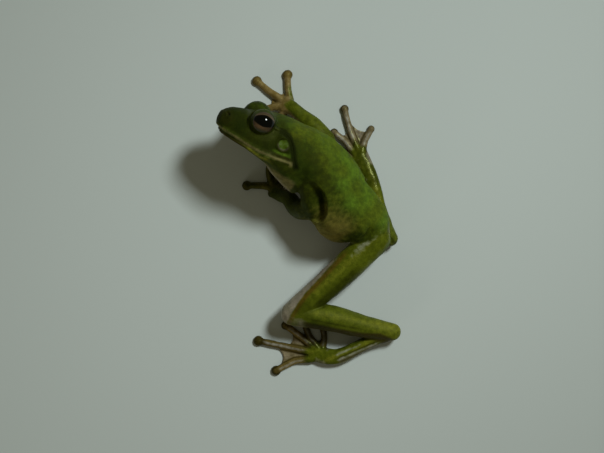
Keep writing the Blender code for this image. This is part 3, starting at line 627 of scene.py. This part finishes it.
def foot_pieces(side):
    heel, sole = joints(side, "heel", "sole")
    width, height = TARSUS["width"], TARSUS["height"]
    foot = FEET[side]
    instep = np.array([(*points[0], 1.6) for points in foot[2:]]).mean(axis=0)
    rows = [
        level_row(heel, LEG_RADII["ankle"] * 0.9),
        level_row(heel * 0.55 + sole * 0.45 - (0, 0, 0.3), width, height),
        level_row(sole, width * 1.22, height),
        level_row(instep, width * 1.35, height * 0.8),
    ]
    pieces = [tube(rows)]
    for *points, scale in foot:
        metatarsal = [
            level_row(sole * 0.7 + instep * 0.3 - (0, 0, 0.6), 1.9, 1.6),
            level_row((*points[0], DIGIT["level"] + 0.6), DIGIT["base"], DIGIT["height"] * 1.2),
        ]
        pieces += [tube(metatarsal, around=DIGIT_AROUND), *digit(points, scale)]
    return pieces + webs(foot, FOOT_WEBS)


def leg_pieces(side):
    hip, middle, knee, calf, heel = joints(side, "hip", "thigh", "knee", "calf", "heel")
    slim, slimmer = SLIM[side]
    size, thick = LEG_RADII["hip"] * slim, LEG_RADII["calf"] * slimmer
    bend = level_row(knee, LEG_RADII["knee"] * slim)
    thigh = [level_row(hip, size, size * 0.86), level_row(middle, LEG_RADII["thigh"] * slim), bend]
    shank = [
        bend,
        level_row(calf, thick, thick * 0.95),
        level_row(knee * 0.28 + heel * 0.72, thick * 0.84, thick * 0.8),
        level_row(heel, LEG_RADII["heel"] * slimmer**0.5, LEG_RADII["ankle"]),
    ]
    return [tube(thigh), tube(shank), *foot_pieces(side)]


def ramp(low, high, values):
    """Rises smoothly from zero at low to one at high."""
    share = np.clip((values - low) / (high - low), 0, 1)
    return share * share * (3 - 2 * share)


def fall(low, high, values):
    """Falls smoothly from one at low to zero at high."""
    return 1 - ramp(low, high, values)


def plateau(low, rise, drop, high, values):
    """One from rise to drop, with soft ends at low and high."""
    return ramp(low, rise, values) * fall(drop, high, values)


def hill(values, width):
    """Soft hill of height one round zero."""
    return np.exp(-((values / width) ** 2))


def away_from(x, z, spot):
    """Distance from a spot in the side view of the head."""
    return np.hypot(x - spot[0], z - spot[1])


def on_trunk(points):
    """How far along the trunk each point is, which way it faces from the axis, and its clearance."""
    path = smooth_rows(trunk_rows(), 8)
    nearest = np.argmin(np.linalg.norm(points[:, None] - path[None, :, :3], axis=2), axis=1)
    row = path[nearest]
    offset = points - row[:, :3]
    heading = unit(-np.gradient(path[:, :3], axis=0))[nearest]
    offset = offset - heading * np.sum(offset * heading, axis=1)[:, None]
    length = np.linalg.norm(offset, axis=1) + 1e-6
    backward = np.sum(offset * row[:, 3:6], axis=1)
    leftward = np.sum(offset * np.cross(row[:, 3:6], heading), axis=1)
    depth = np.where(backward > 0, row[:, 7], row[:, 8])
    reach = np.hypot(leftward / row[:, 6], backward / depth)
    end = np.linalg.norm(points - row[:, :3], axis=1) - length
    clearance = (reach - 1) * 11 + np.maximum(end - 2, 0)
    return nearest / (len(path) - 1), backward / length, leftward / length, clearance


def head_coordinates(points):
    """Points in the head's own frame, and their clearance from its skin."""
    local = (points - np.array(HEAD_AT)) @ head_axes().T
    half, crown, level, throat = head_section(local[:, 0])
    above = local[:, 2] > level
    span = np.where(above, crown - level, level - throat)
    reach = np.hypot(local[:, 1] / half, (local[:, 2] - level) / span)
    beyond = np.maximum(HEAD_ENDS[0] - local[:, 0], 0) + np.maximum(local[:, 0] - HEAD_ENDS[1], 0)
    return local, (reach - 1) * np.minimum(half, span) + beyond


def on_limb(points, side, start, end, radius):
    """Share along a limb, place across it from -1 on its left to 1 on its right, and clearance."""
    start, end = joints(side, start, end)
    axis = end - start
    share = (points - start) @ axis / (axis @ axis)
    offset = points - start - np.clip(share, 0, 1)[:, None] * axis
    right = unit(np.cross(axis, UP))
    return share, offset @ right / radius, np.linalg.norm(offset, axis=1) - radius


def near_trunk(points):
    """Share of the softening that each point takes: most along the trunk, least at head and hands."""
    path = smooth_rows([JOINTS[row[0]] for row in TRUNK[1:-1]])
    gap = np.min(np.linalg.norm(points[:, None] - path[None], axis=2), axis=1)
    return np.clip((SOFT_REACH - gap) / SOFT_FADE, 0, 1)


def line_distance(flat, line):
    """Distance of flat points from a broken line, the side that they lie on, and the share along."""
    line = np.array(line)
    axes = np.diff(line, axis=0)
    offset = flat[:, None] - line[:-1]
    share = np.clip(np.sum(offset * axes, axis=2) / np.sum(axes**2, axis=1), 0, 1)
    offset -= share[..., None] * axes
    gaps = np.hypot(offset[..., 0], offset[..., 1])
    turn = np.sign(axes[:, 0] * offset[..., 1] - axes[:, 1] * offset[..., 0])
    step = gaps.argmin(axis=1)
    nearest = np.arange(len(flat)), step
    return gaps[nearest], turn[nearest], (step + share[nearest]) / len(axes)


def eye_frame(side):
    return aimed_frame(in_head(EYE["at"], side), unit(head_direction(EYE["aim"], side)), side)


def eyelids(points, side):
    """Opens the lids over the eyeball, with a round lip to each."""
    centre, *axes = eye_frame(side)
    offset = points - centre
    distance = np.linalg.norm(offset, axis=1)
    along, high, out = (offset @ axis for axis in axes)
    tall = np.where(high > 0, LID["tall_above"], LID["tall_below"])
    reach = np.where(out > 0, np.hypot(along / LID["long"], high / tall), 9)
    inside, lip = EYE["radius"] * 0.9, EYE["radius"] + LID["lip"]
    target = inside + (lip - inside) * ramp(0.93, 1.06, reach)
    share = fall(1.12, 1.5, reach) * (distance < EYE["radius"] + 3)
    return points + offset * (share * (target / distance - 1))[:, None]


def mouth_gap(forward, height):
    """Height over the visible line of the mouth."""
    return height - (mouth_height(forward) + np.interp(forward, *np.array(MOUTH_SHIFT).T))


def head_relief(points, normals, side):
    """Lines and folds of the head, as moves along the skin's own direction."""
    local, clearance = head_coordinates(points)
    x, y, z = local[:, 0], local[:, 1] * side, local[:, 2]
    depth = np.abs(clearance)
    on_side = ramp(1, 3, y) * (depth < 4)
    gap = mouth_gap(x, z)
    mouth = RELIEF["mouth"] * hill(gap, 0.3) + RELIEF["lip"] * hill(gap - 0.95, 0.6)
    move = mouth * ramp(0.3, 2.2, x) * (depth < 4) * (y > 0)
    throat = ramp(-4, -7.5, gap) * ramp(13, 6, x) * ramp(-16, -8, x)
    move += RELIEF["throat"] * throat * ramp(5, 3, depth) * (y > 0)
    away = away_from(x, z, NOSTRIL)
    move += (RELIEF["nostril"] * hill(away, 0.5) + RELIEF["nostril_rim"] * hill(away - 1, 0.4)) * on_side
    away = away_from(x, z, TYMPANUM["at"])
    move += (RELIEF["ear_rim"] * hill(away - 2.8, 0.5) + RELIEF["ear"] * fall(1.8, 2.8, away)) * on_side
    move += RELIEF["ear_middle"] * hill(away, 1) * on_side
    flat = np.stack([x, z], axis=1)
    gap, turn, along = line_distance(flat, FOLD_LINE)
    behind = gap * turn
    fold = RELIEF["fold"] * hill(behind - 0.1, 1) + RELIEF["fold_ridge"] * hill(behind - 2, 1.1)
    move += fold * plateau(0, 0.15, 0.85, 1, along) * on_side
    gap, turn, along = line_distance(flat, CANTHUS)
    move += RELIEF["canthus"] * hill(gap * turn, 0.9) * on_side * plateau(0, 0.2, 0.8, 1, along)
    return points + normals * move[:, None]


def skin_object():
    """One closed skin over pieces that overlap, on an even grid, with soft joins and relief."""
    pieces = trunk_pieces() + head_pieces()
    for side in SIDES:
        pieces += leg_pieces(side) + arm_pieces(side)
    all_points, all_faces, start = [], [], 0
    for points, faces in pieces:
        all_points.append(points)
        all_faces += [[start + corner for corner in face] for face in faces]
        start += len(points)
    skin = mesh_object("skin", np.vstack(all_points), all_faces)
    remesh = skin.modifiers.new("skin", "REMESH")
    remesh.mode = "VOXEL"
    remesh.voxel_size = BODY_GRID * MM
    settle(skin)
    smoothed(skin, SMOOTHINGS, np.ones(len(skin.data.vertices)))
    smoothed(skin, TRUNK_SMOOTHINGS, near_trunk(points_of(skin)))
    points = body_relief(points_of(skin), values_of(skin, "normal"))
    set_points(skin, points)
    for side in (1, -1):
        points = head_relief(points, values_of(skin, "normal"), side)
        points = eyelids(points, side)
    points[:, 2] = np.maximum(points[:, 2], 0)
    set_points(skin, points)
    skin.data.shade_smooth()
    return skin


def digits_distance(points, digits):
    """Distance on the floor plan from the nearest of several digits, and its share along."""
    rows = np.array([line_distance(points[:, :2], digit[:3]) for digit in digits])
    nearest = rows[:, 0].argmin(axis=0), np.arange(len(points))
    return rows[:, 0][nearest], rows[:, 2][nearest]


def wave(points, size, seed=0):
    """Smooth irregular hills of about this size, between -1 and 1."""
    total = np.zeros(len(points))
    for step in range(7):
        turn, lean = 2.4 * step + seed, 1.7 * step + 0.5 * seed
        way = unit((cos(turn), sin(turn), cos(lean)))
        total += np.sin(points @ way * 2 * pi / (size * (0.8 + 0.09 * step)) + 2.1 * step + seed)
    return np.clip(total / 3.5, -1, 1)


def body_relief(points, normals):
    """Uneven flesh under the skin, and digits that stand clear of their webs."""
    trunk = near_trunk(points)
    local, clearance = head_coordinates(points)
    head = ramp(2, 0, clearance) * ramp(-6, -1, local[:, 0])
    move = trunk * (RELIEF["trunk"] * wave(points, 9) + RELIEF["trunk_fine"] * wave(points, 4, 3))
    move += (1 - trunk) * (1 - head) * RELIEF["limb"] * wave(points, 5, 1)
    points = points + normals * move[:, None]
    for side in SIDES:
        for digits in (HANDS[side], FEET[side]):
            gap, _ = digits_distance(points, digits)
            near = fall(2.6, 4, points[:, 2]) * np.clip(points[:, 2] / 1.2, 0, 1) * (gap < 6)
            points[:, 2] += (RELIEF["digit"] * hill(gap, 1) + RELIEF["web"] * hill(gap - 2.6, 1)) * near
    return points


def trunk_shades(points):
    """Bright back, dark shoulder and flank, olive lower flank, pale belly. The bright back is partly its
    own colour and partly painted light where it turns to the lamp; the dark shoulder, flank and crease are
    painted shade.
    """
    along, backward, leftward, clearance = on_trunk(points)
    turn = np.arctan2(leftward, backward)
    patches = 0.5 + 0.5 * wave(points, 9, 2)
    # Lighter back on the side turned to the lamp: partly its own colour, partly painted light.
    bright = fall(0, 0.95, turn) * ramp(-0.12, 0.1, along) * (0.45 + 0.55 * patches)
    nape = 0.45 * fall(0.2, 0.32, along) * fall(0.7, 1, turn)
    hip = 0.6 * plateau(0.6, 0.7, 0.75, 0.82, along) * fall(0.6, 1, turn)
    tan = 0.35 * (1 - patches) * ramp(0.1, 0.3, along)
    border = np.interp(along, *BELLY_BORDER)
    # Painted shade on the shoulder and flank turned away from the lamp.
    flank = ramp(0.4, 1.1, turn) * fall(0.35, 0.5, along) * (backward > -0.7)
    # Painted shade in the crease between the belly and the thigh.
    crease_shade = ramp(0.62, 0.75, along) * ramp(0.5, 1, turn)
    return clearance, dict(
        bright=bright * (1 - 0.5 * ramp(0.5, 0.8, along) * ramp(-0.3, 0.6, turn)),
        limb=np.maximum.reduce([nape, hip, tan]),
        pale=0.9 * fall(border - 0.25, border + 0.35, backward),
        olive=plateau(0.4, 0.57, 0.57, 0.74, along) * ramp(0.3, 1.3, turn),
        dark=0.3 * flank + 0.35 * crease_shade,
        dull=1 - 0.5 * ramp(0.7, 0.85, along),
    )


def head_shades(points, up):
    """Pale lip, lime edge under the mouth, grey throat, dark fold, ear and snout. The dark band along the
    fold, the faint dark mouth line, the darkened side of the face and the dark brown under the front of the
    mouth are painted shade.
    """
    local, clearance = head_coordinates(points)
    x, y, z = local[:, 0], np.abs(local[:, 1]), local[:, 2]
    gap = mouth_gap(x, z)
    corner = away_from(x, gap, (0.9, 0.6))
    lip = hill(gap - 0.85, np.interp(x, *LIP_WIDTH)) * ramp(0.3, 2, x) * np.interp(x, *LIP_STRENGTH)
    lime = 0.9 * hill(gap + np.interp(x, *LIME_DEPTH), 0.8) * plateau(7, 13, 19, 23, x)
    streak = hill(gap - 3.5, 0.7) * plateau(1, 4, 9, 12, x)
    below = np.interp(x, *THROAT_BORDER)
    throat = fall(below - 1.5, below + 1.2, gap)
    # Painted shade: dark brown on the jaw just under the front of the mouth.
    chin_shade = ramp(0.1, -0.8, gap) * ramp(-3.6, -2.2, gap)
    line, turn, share = line_distance(np.stack([x, z], axis=1), FOLD_LINE)
    # Painted shadow: a broad dark band along the fold behind the eye.
    fold = np.minimum(1.7 * hill(line * turn - 0.1, 1.3), 1) * plateau(0, 0.1, 0.9, 1, share)
    # Painted shade: a faint dark line in the mouth's groove.
    fold = np.maximum(fold, 0.08 * hill(gap, 0.25) * ramp(0, 3, x)) * (y > 2)
    away = away_from(x, z, TYMPANUM["at"])
    lower = ramp(0.5, -1.5, z - TYMPANUM["at"][1])
    ear = fall(1.7, 2.6, away)
    nape = ramp(8, 3, x) * ramp(5, 8, z)
    # Painted shade over the side of the face above the mouth.
    face = ramp(-1, 4, x) * ramp(1.2, 2.8, gap) * (1 - 0.5 * ramp(8.5, 11, z)) * (1 - nape)
    behind_eye = ramp(13, 7, x) * ramp(7, 9.5, z)
    crown = ramp(7.5, 10.5, z) * fall(24, 32, x)
    browns = [
        hill(away - 2.6, 0.5) * (0.1 + 0.4 * lower),
        0.8 * hill(gap - 2.2, 0.5) * plateau(1, 3, 12, 16, x),
        0.75 * chin_shade * ramp(19, 23, x),
        0.4 * fall(2, 5, away_from(x, z, SNOUT)),
        hill(away_from(x, z, NOSTRIL), 0.6) * (y > 1.5),
    ]
    return clearance, dict(
        bright=np.maximum.reduce([0.5 * ear, 0.4 * behind_eye, 0.15 * crown, 0.8 * streak]),
        limb=0.6 * nape,
        pale=throat * 0.9,
        rosy=np.maximum(0.8 * throat * ramp(0.35, 0, up), 0.35 * hill(away - 2.3, 0.4) * lower),
        lip=np.maximum(lip, hill(corner, 1.1) * (y > 2)),
        lime=np.maximum(lime, 0.7 * hill(corner, 1) * (y > 2)),
        pale_and_highlight=0.03 * ear,
        dark=np.maximum(fold, 0.6 * face * (1 - ear) * (1 - streak)),
        brown=np.maximum.reduce(browns),
        dull=1 - 0.7 * hill(away_from(x, z, EYE["at"][::2]) - 6, 1.2),
    )


def arm_shades(points, up, side):
    """Upper arm and forearm: green outside, olive flesh inside and under. The left arm is darkened as
    painted shade.
    """
    _, _, clearance = on_limb(points, side, "shoulder", "elbow", ARM_RADII[side]["upper"])
    # The left upper arm is darkened as painted shade.
    limb, dark = (0.45, 0) if side == "right" else (0, 0.45)
    yield clearance, dict(limb=limb, dark=dark, flesh=0.5 * fall(-0.6, 0, up), dull=0.8)
    _, across, clearance = on_limb(points, side, "elbow", "wrist", ARM_RADII[side]["fore"])
    inner = across if side == "left" else -across
    # The left forearm is darkened as painted shade.
    limb, dark, share = (0.8, 0, 0.9) if side == "right" else (0.1, 0.3, 0.3)
    flesh = share * np.maximum(fall(-0.4, 0.15, up), ramp(0.35, 0.75, inner))
    yield clearance, dict(limb=limb, dark=dark, flesh=flesh, dull=0.4)


def hand_shades(points, side):
    """Olive tan hand, yellow green along the outer fingers, brown pads."""
    gap, along = digits_distance(points, HANDS[side])
    pad = ramp(0.84, 0.96, along)
    # The left hand is darkened as painted shade.
    shades = dict(flesh=0.21625, limb=0.15, dark=0.35)
    if side == "right":
        away, turn, share = line_distance(points[:, :2], HANDS[side][3][:3])
        green = hill(away * turn + 0.9, 1.1) * fall(0.45, 0.75, share)
        away, _, share = line_distance(points[:, :2], HANDS[side][2][:3])
        lime = 0.5 * hill(away, 1) * fall(0.1, 0.5, share)
        rosy = 0.12 * fall(1.2, 2.4, gap) * (1 - pad)
        shades = dict(flesh=1 - 0.9 * green, limb=green, lime=lime, rosy=rosy)
    shades["brown"] = 0.3 * pad + 0.3 * hill(gap - 1.9, 0.6)
    return points[:, 2] - 3.5 + gap * 0.35, shades


def thigh_shades(points, up, side):
    """Left: green top, rusty line, rosy grey outer band and knee, a dark inner side and a dark bend at the
    knee that are painted shade, and a pale streak near the hip that is a painted highlight.
    """
    share, across, clearance = on_limb(points, side, "hip", "knee", LEG_RADII["thigh"])
    if side == "right":
        return clearance, dict(limb=0.75, flesh=0.5 * ramp(0.5, 0.8, np.abs(across)))
    border = np.interp(share, *THIGH_BORDER)
    # Painted shade on the inner side of the thigh.
    inner = ramp(0.3, 0.6, -across) * plateau(0.22, 0.4, 0.76, 0.86, share)
    # Painted shadow at the bend of the knee.
    bend = 0.4 * hill(share - 0.92, 0.1) * ramp(0.35, 0.1, across)
    return clearance, dict(
        limb=1,
        rosy=ramp(-0.08, 0.08, across - border) * ramp(0.3, 0.5, share),
        lime=0.35 * hill(across - 0.1, 0.25) * fall(0.6, 0.9, share),
        rust=hill(across - border + 0.17, 0.17) * ramp(0.2, 0.4, share),
        bright=0.4 * hill(across - 0.15, 0.3) * fall(0.5, 0.75, share),
        # Painted highlight: a pale streak near the hip.
        pale_and_highlight=0.3 * hill(across - 0.22, 0.2) * fall(0.12, 0.32, share),
        dark=np.maximum(0.65 * inner, bend),
        flesh=0.9 * fall(-0.5, 0.1, up),
        dull=0.25 * ramp(0.3, 0.6, share),
    )


def shank_shades(points, up, side):
    """Left: light top, thin dark line, dark brown lower edge that is partly painted shade, a dark patch
    under the knee that is painted shadow, rosy grey where it leaves the knee.
    """
    share, across, clearance = on_limb(points, side, "knee", "heel", LEG_RADII["calf"])
    if side == "right":
        return clearance, dict(
            limb=0.9,
            lime=0.6 * ramp(0, 0.6, across) * ramp(0.2, 0.6, share),
            dark=0.6 * hill(across + 0.05, 0.16) * ramp(0.05, 0.3, share),
            flesh=0.6 * fall(-0.4, 0.1, up),
            dull=0.5,
        )
    border = np.interp(share, *SHANK_BORDER)
    # Dark brown lower edge: partly its own colour, partly painted shade on the underside.
    edge = ramp(-0.1, 0.15, across - border) * fall(0.97, 1.05, share)
    line = hill(across - 0.12 - 0.1 * share, 0.1) * plateau(0.05, 0.2, 0.6, 0.8, share)
    # Painted shadow: a dark patch under the knee.
    patch = hill(np.hypot((share - 0.24) / 0.16, (across - 0.5) / 0.28), 1)
    knee_skin = ramp(0.12, 0.02, share - 0.06 * across) * ramp(0.1, 0.35, across)
    return clearance, dict(
        limb=1,
        lime=0.3 * ramp(0.6, 1, share) + 0.35 * hill(across + 0.4, 0.25),
        rosy=knee_skin,
        brown=0.9 * edge * (1 - knee_skin),
        dark=0.5 * line + 0.65 * patch,
        flesh=0.7 * fall(-0.5, 0, up),
        dull=0.55,
    )


def tarsus_shades(points, up, side):
    """Green strips between pale and dark lines."""
    share, across, clearance = on_limb(points, side, "heel", "sole", TARSUS["width"])
    on = fall(0.9, 1.02, share)
    if side == "right":
        return clearance, dict(
            limb=0.95,
            lime=0.5 * hill(across - 0.3, 0.35),
            pale_and_highlight=0.4 * hill(across + 0.75, 0.16) * on,
            dark=np.maximum(0.6 * hill(across + 0.35, 0.16) * on, 0.5 * ramp(0.7, 0.95, share)),
            flesh=0.5 * fall(-0.2, 0.3, up),
        )
    # Painted highlights: the pale lines along the left tarsus.
    one = 0.35 * hill(across - 0.2, 0.16) * ramp(0.45, 0.65, share)
    other = 0.3 * hill(across + 0.6, 0.14) * ramp(0.15, 0.4, share)
    return clearance, dict(
        limb=1,
        lime=0.6 * hill(across - 0.1, 0.35),
        pale_and_highlight=on * (one + other),
        rosy=0.4 * on * ramp(0.35, 0.6, -across),
        brown=0.7 * on * (hill(across + 1, 0.22) + hill(across + 0.3, 0.12)),
        dark=0.5 * on * hill(across - 0.75, 0.2),
    )


def foot_shades(points, side):
    """Green ridges on the digits with pale streaks of painted highlight, rosy webs, brown pads; the left
    foot's inner toes darkened as painted shadow.
    """
    gap, along = digits_distance(points, FEET[side])
    pad = ramp(0.86, 0.97, along)
    knuckle = ramp(0.05, 0.4, along)
    web = ramp(1.6, 2.4, gap)
    sole = JOINTS[side + "_sole"][:2]
    instep = np.array([digit[0] for digit in FEET[side][2:]]).mean(axis=0)
    away, _, _ = line_distance(points[:, :2], (sole, instep))
    near = fall(0.8, 4.2, away)
    if side == "left":
        inner, _ = digits_distance(points, FEET[side][:2])
        # Painted shadow of the shank over the inner toes and their web.
        dark = 0.75 * fall(1.5, 4.5, inner) * ramp(2, 5, away)
        fourth, _, _ = line_distance(points[:, :2], FEET[side][3][:3])
        brown = 0.6 * pad + 0.5 * knuckle * fall(0.8, 1.8, fourth)
        rosy = 0.5 * web
    else:
        dark, brown = 0.5 * near, 0.3 * pad
        rosy = np.maximum(0.8 * web, 0.45 * knuckle)
    return points[:, 2] - 3.4 + gap * 0.3, dict(
        flesh=0.8 * knuckle * (1 - near),
        limb=np.clip(near + 0.35 * (1 - knuckle), 0, 1),
        lime=0.35 * near * hill(gap, 1),
        rosy=rosy * (1 - near),
        # Painted highlight along the tops of the digits.
        pale_and_highlight=0.4 * hill(gap - 0.2, 0.35) * (1 - pad) * ramp(0.1, 0.4, along),
        brown=np.clip(brown + 0.75 * hill(gap - 1.7, 0.45) * (1 - near), 0, 1),
        dark=dark,
    )


def markings(obj):
    """Shares of each colour at every point of the skin, softly joined between the regions."""
    points, up = points_of(obj), values_of(obj, "normal")[:, 2]
    regions = [trunk_shades(points), head_shades(points, up)]
    for side in SIDES:
        regions += arm_shades(points, up, side)
        regions.append(hand_shades(points, side))
        for shades in (thigh_shades, shank_shades, tarsus_shades):
            regions.append(shades(points, up, side))
        regions.append(foot_shades(points, side))
    clearances = np.array([clearance for clearance, _ in regions])
    weights = np.exp(-(clearances - clearances.min(axis=0)) / REGION_BLUR)
    weights /= weights.sum(axis=0)
    for name in (*LAYERS, "dark", "dull"):
        total = np.zeros(len(points))
        for weight, (_, shades) in zip(weights, regions):
            total += weight * shades.get(name, 0)
        add_layer(obj, name, np.clip(total, 0, 1))


class Graph:
    """Short hand for a material's nodes."""

    def __init__(self, name):
        self.material = bpy.data.materials.new(name)
        self.material.use_nodes = True
        self.tree = self.material.node_tree
        self.shader = self.tree.nodes["Principled BSDF"]

    def node(self, kind, **values):
        made = self.tree.nodes.new("ShaderNode" + kind)
        for key, value in values.items():
            if hasattr(made, key):
                setattr(made, key, value)
            else:
                self.put(made.inputs[key.replace("_", " ")], value)
        return made

    def put(self, socket, value):
        if isinstance(value, bpy.types.NodeSocket):
            self.tree.links.new(value, socket)
        else:
            socket.default_value = value

    def finish(self, values):
        """Puts links and even values straight on the shader's own sockets."""
        for name, value in values.items():
            self.put(self.shader.inputs[name], value)

    def pattern(self, kind, size, **values):
        """Noise or cells of about this size in millimetres."""
        place = self.node("TexCoord").outputs["Object"]
        return self.node("Tex" + kind, Vector=place, Scale=1 / (size * MM), **values)

    def noise(self, size, detail=3, roughness=0.5):
        return self.pattern("Noise", size, Detail=detail, Roughness=roughness).outputs["Fac"]

    def math(self, operation, first, second):
        made = self.node("Math", operation=operation)
        self.put(made.inputs[0], first)
        self.put(made.inputs[1], second)
        return made.outputs[0]

    def span(self, value, low, high, to_low=0, to_high=1):
        ends = {"From_Min": low, "From_Max": high, "To_Min": to_low, "To_Max": to_high}
        return self.node("MapRange", Value=value, **ends).outputs["Result"]

    def mix(self, share, first, second, blend="MIX"):
        values = {"Factor": share, "A": first, "B": second}
        return self.node("Mix", data_type="RGBA", blend_type=blend, **values).outputs["Result"]

    def attribute(self, name):
        return self.node("Attribute", attribute_name=name).outputs["Fac"]

    def bump(self, height, distance, strength, **normal):
        values = {"Height": height, "Distance": distance * MM, "Strength": strength}
        return self.node("Bump", **values, **normal).outputs["Normal"]


def skin_material():
    graph = Graph("frog_skin")
    broad, patch = graph.noise(GRAIN["broad"]), graph.noise(GRAIN["patch"])
    middle, fine = graph.noise(GRAIN["middle"], 4), graph.noise(GRAIN["fine"], 2)
    color = graph.mix(graph.span(broad, 0.35, 0.65), PAINT["green"], PAINT["leaf"])
    for name in LAYERS:
        share = graph.attribute(name)
        uneven = graph.math("ADD", share, graph.span(middle, 0.3, 0.7, -0.14, 0.14))
        share = graph.math("MULTIPLY", graph.span(uneven, 0.06, 0.94), graph.span(share, 0, 0.06))
        color = graph.mix(share, color, PAINT[name])
    blue = graph.span(patch, 0.55, 0.75, 0, 0.35)
    color = graph.mix(graph.math("MULTIPLY", blue, graph.attribute("dull")), color, PAINT["sea"])
    # The dark layer holds dark lines of the skin and painted shade.
    color = graph.mix(graph.math("MULTIPLY", graph.attribute("dark"), 0.9), color, PAINT["dark"])
    speck = graph.span(fine, 0.3, 0.7, 0.8, 1.2)
    blotch = graph.span(middle, 0.3, 0.7, 0.78, 1.2)
    shade = graph.math("MULTIPLY", speck, blotch)
    shade = graph.node("CombineColor", Red=shade, Green=shade, Blue=shade).outputs["Color"]
    color = graph.mix(1, color, shade, "MULTIPLY")
    pores = graph.pattern("Voronoi", GRAIN["pores"], feature="SMOOTH_F1", Smoothness=0.4)
    normal = graph.bump(pores.outputs["Distance"], 0.06, 0.7)
    normal = graph.bump(middle, 0.14, 0.4, Normal=normal)
    rough = graph.span(graph.attribute("dull"), 0, 1, ROUGHNESS["wet"], ROUGHNESS["dull"])
    rough = graph.math("ADD", rough, graph.span(middle, 0.3, 0.7, -0.05, 0.06))
    graph.finish({"Base Color": color, "Roughness": rough, "Normal": normal, **SKIN_FINISH})
    return graph.material


def eye_material():
    graph = Graph("eye_wet")
    flecks = graph.noise(GRAIN["flecks"], 4, 0.6)
    color = graph.mix(graph.span(flecks, 0.3, 0.7, 0, 0.2), PAINT["iris_dark"], PAINT["iris"])
    glow = graph.math("MULTIPLY", graph.attribute("warm"), graph.span(flecks, 0.3, 0.7, 1, 0.6))
    color = graph.mix(glow, color, PAINT["iris"])
    for layer, paint in (("low", "iris_low"), ("edge", "iris_rim"), ("pupil", "pupil")):
        color = graph.mix(graph.attribute(layer), color, PAINT[paint])
    graph.finish({"Base Color": color, **EYE_FINISH})
    return graph.material


def eyeball(side):
    centre, *axes = eye_frame(side)
    points, faces = ball(0, EYE["radius"], rings=96, around=144)
    along, high, out = points.T
    rise = high - IRIS["raised"]
    swell = IRIS["cornea"] * ramp(0.3, 1, out / EYE["radius"])
    points = centre + points * (1 + swell / EYE["radius"])[:, None] @ np.array(axes)
    eye = mesh_object("eyeball_left" if side == 1 else "eyeball_right", points, faces)
    pointed = np.abs(along / IRIS["pupil_long"]) ** 1.5 + np.abs(rise / IRIS["pupil_tall"]) ** 1.7
    # Painted shade: the rim of the eyeball under the lids takes the pupil's dark.
    rim = ramp(0.78, 0.95, np.hypot(along, high) / EYE["radius"])
    corner = ramp(-2.5, -4.4, along) * ramp(3.5, 0.5, np.abs(rise + 1))
    pupil = fall(0.9, 1.06, pointed) * (out > 0)
    add_layer(eye, "pupil", np.maximum.reduce([pupil, 0.7 * rim, 0.7 * corner]))
    add_layer(eye, "edge", 0.4 * hill(pointed - 1.22, 0.15) * (out > 0) * ramp(-0.5, 0.8, rise))
    add_layer(eye, "low", ramp(-2.6, -4.6, rise))
    # Bronze iris below the pupil; above it the iris stays dark, partly its own colour and partly painted
    # shade under the lid.
    add_layer(eye, "warm", hill(np.hypot((along - 1.5) / 3, (rise + 3.1) / 1.2), 1))
    eye.data.shade_smooth()
    return eye


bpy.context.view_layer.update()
skin = skin_object()
markings(skin)
skin.data.materials.clear()
skin.data.materials.append(skin_material())
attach(skin, "root")
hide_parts(*[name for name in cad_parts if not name.startswith("eye")])
wet = eye_material()
for side, name in ((1, "left"), (-1, "right")):
    eye = eyeball(side)
    eye.data.materials.append(wet)
    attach(eye, "root")
    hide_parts("eye_" + name)


def floor_piece():
    mesh = bpy.data.meshes.new("floor")
    low, high = -FLOOR_HALF, FLOOR_HALF
    mesh.from_pydata([(low, low, 0), (high, low, 0), (high, high, 0), (low, high, 0)], [], [(0, 1, 2, 3)])
    graph = Graph("pale_floor")
    graph.finish(FLOOR_FINISH)
    mesh.materials.append(graph.material)
    placed("floor", mesh)


def camera_above():
    data = bpy.data.cameras.new("camera")
    camera = placed("camera", data)
    camera.location = [CAMERA[name] * MM for name in ("x", "y", "height")]
    data.lens = SENSOR * CAMERA["height"] / (CAMERA["pixels"] * CAMERA["pixel"])
    data.clip_start = 0.01
    bpy.context.scene.camera = camera


def area_light(name, place, power, size, color, spread):
    data = bpy.data.lights.new(name, "AREA")
    data.energy, data.size, data.color, data.spread = power, size, color, radians(spread)
    light = placed(name, data)
    light.location = place
    light.visible_glossy = name == "key"
    light.rotation_euler = (Vector(LIGHT_TARGET) - Vector(place)).to_track_quat("-Z", "Y").to_euler()


floor_piece()
camera_above()
for light in LIGHTS:
    area_light(*light)
world = bpy.data.worlds.new("world")
bpy.context.scene.world = world
world.use_nodes = True
for name, value in WORLD.items():
    world.node_tree.nodes["Background"].inputs[name].default_value = value

bpy.context.scene.view_settings.view_transform = "Standard"
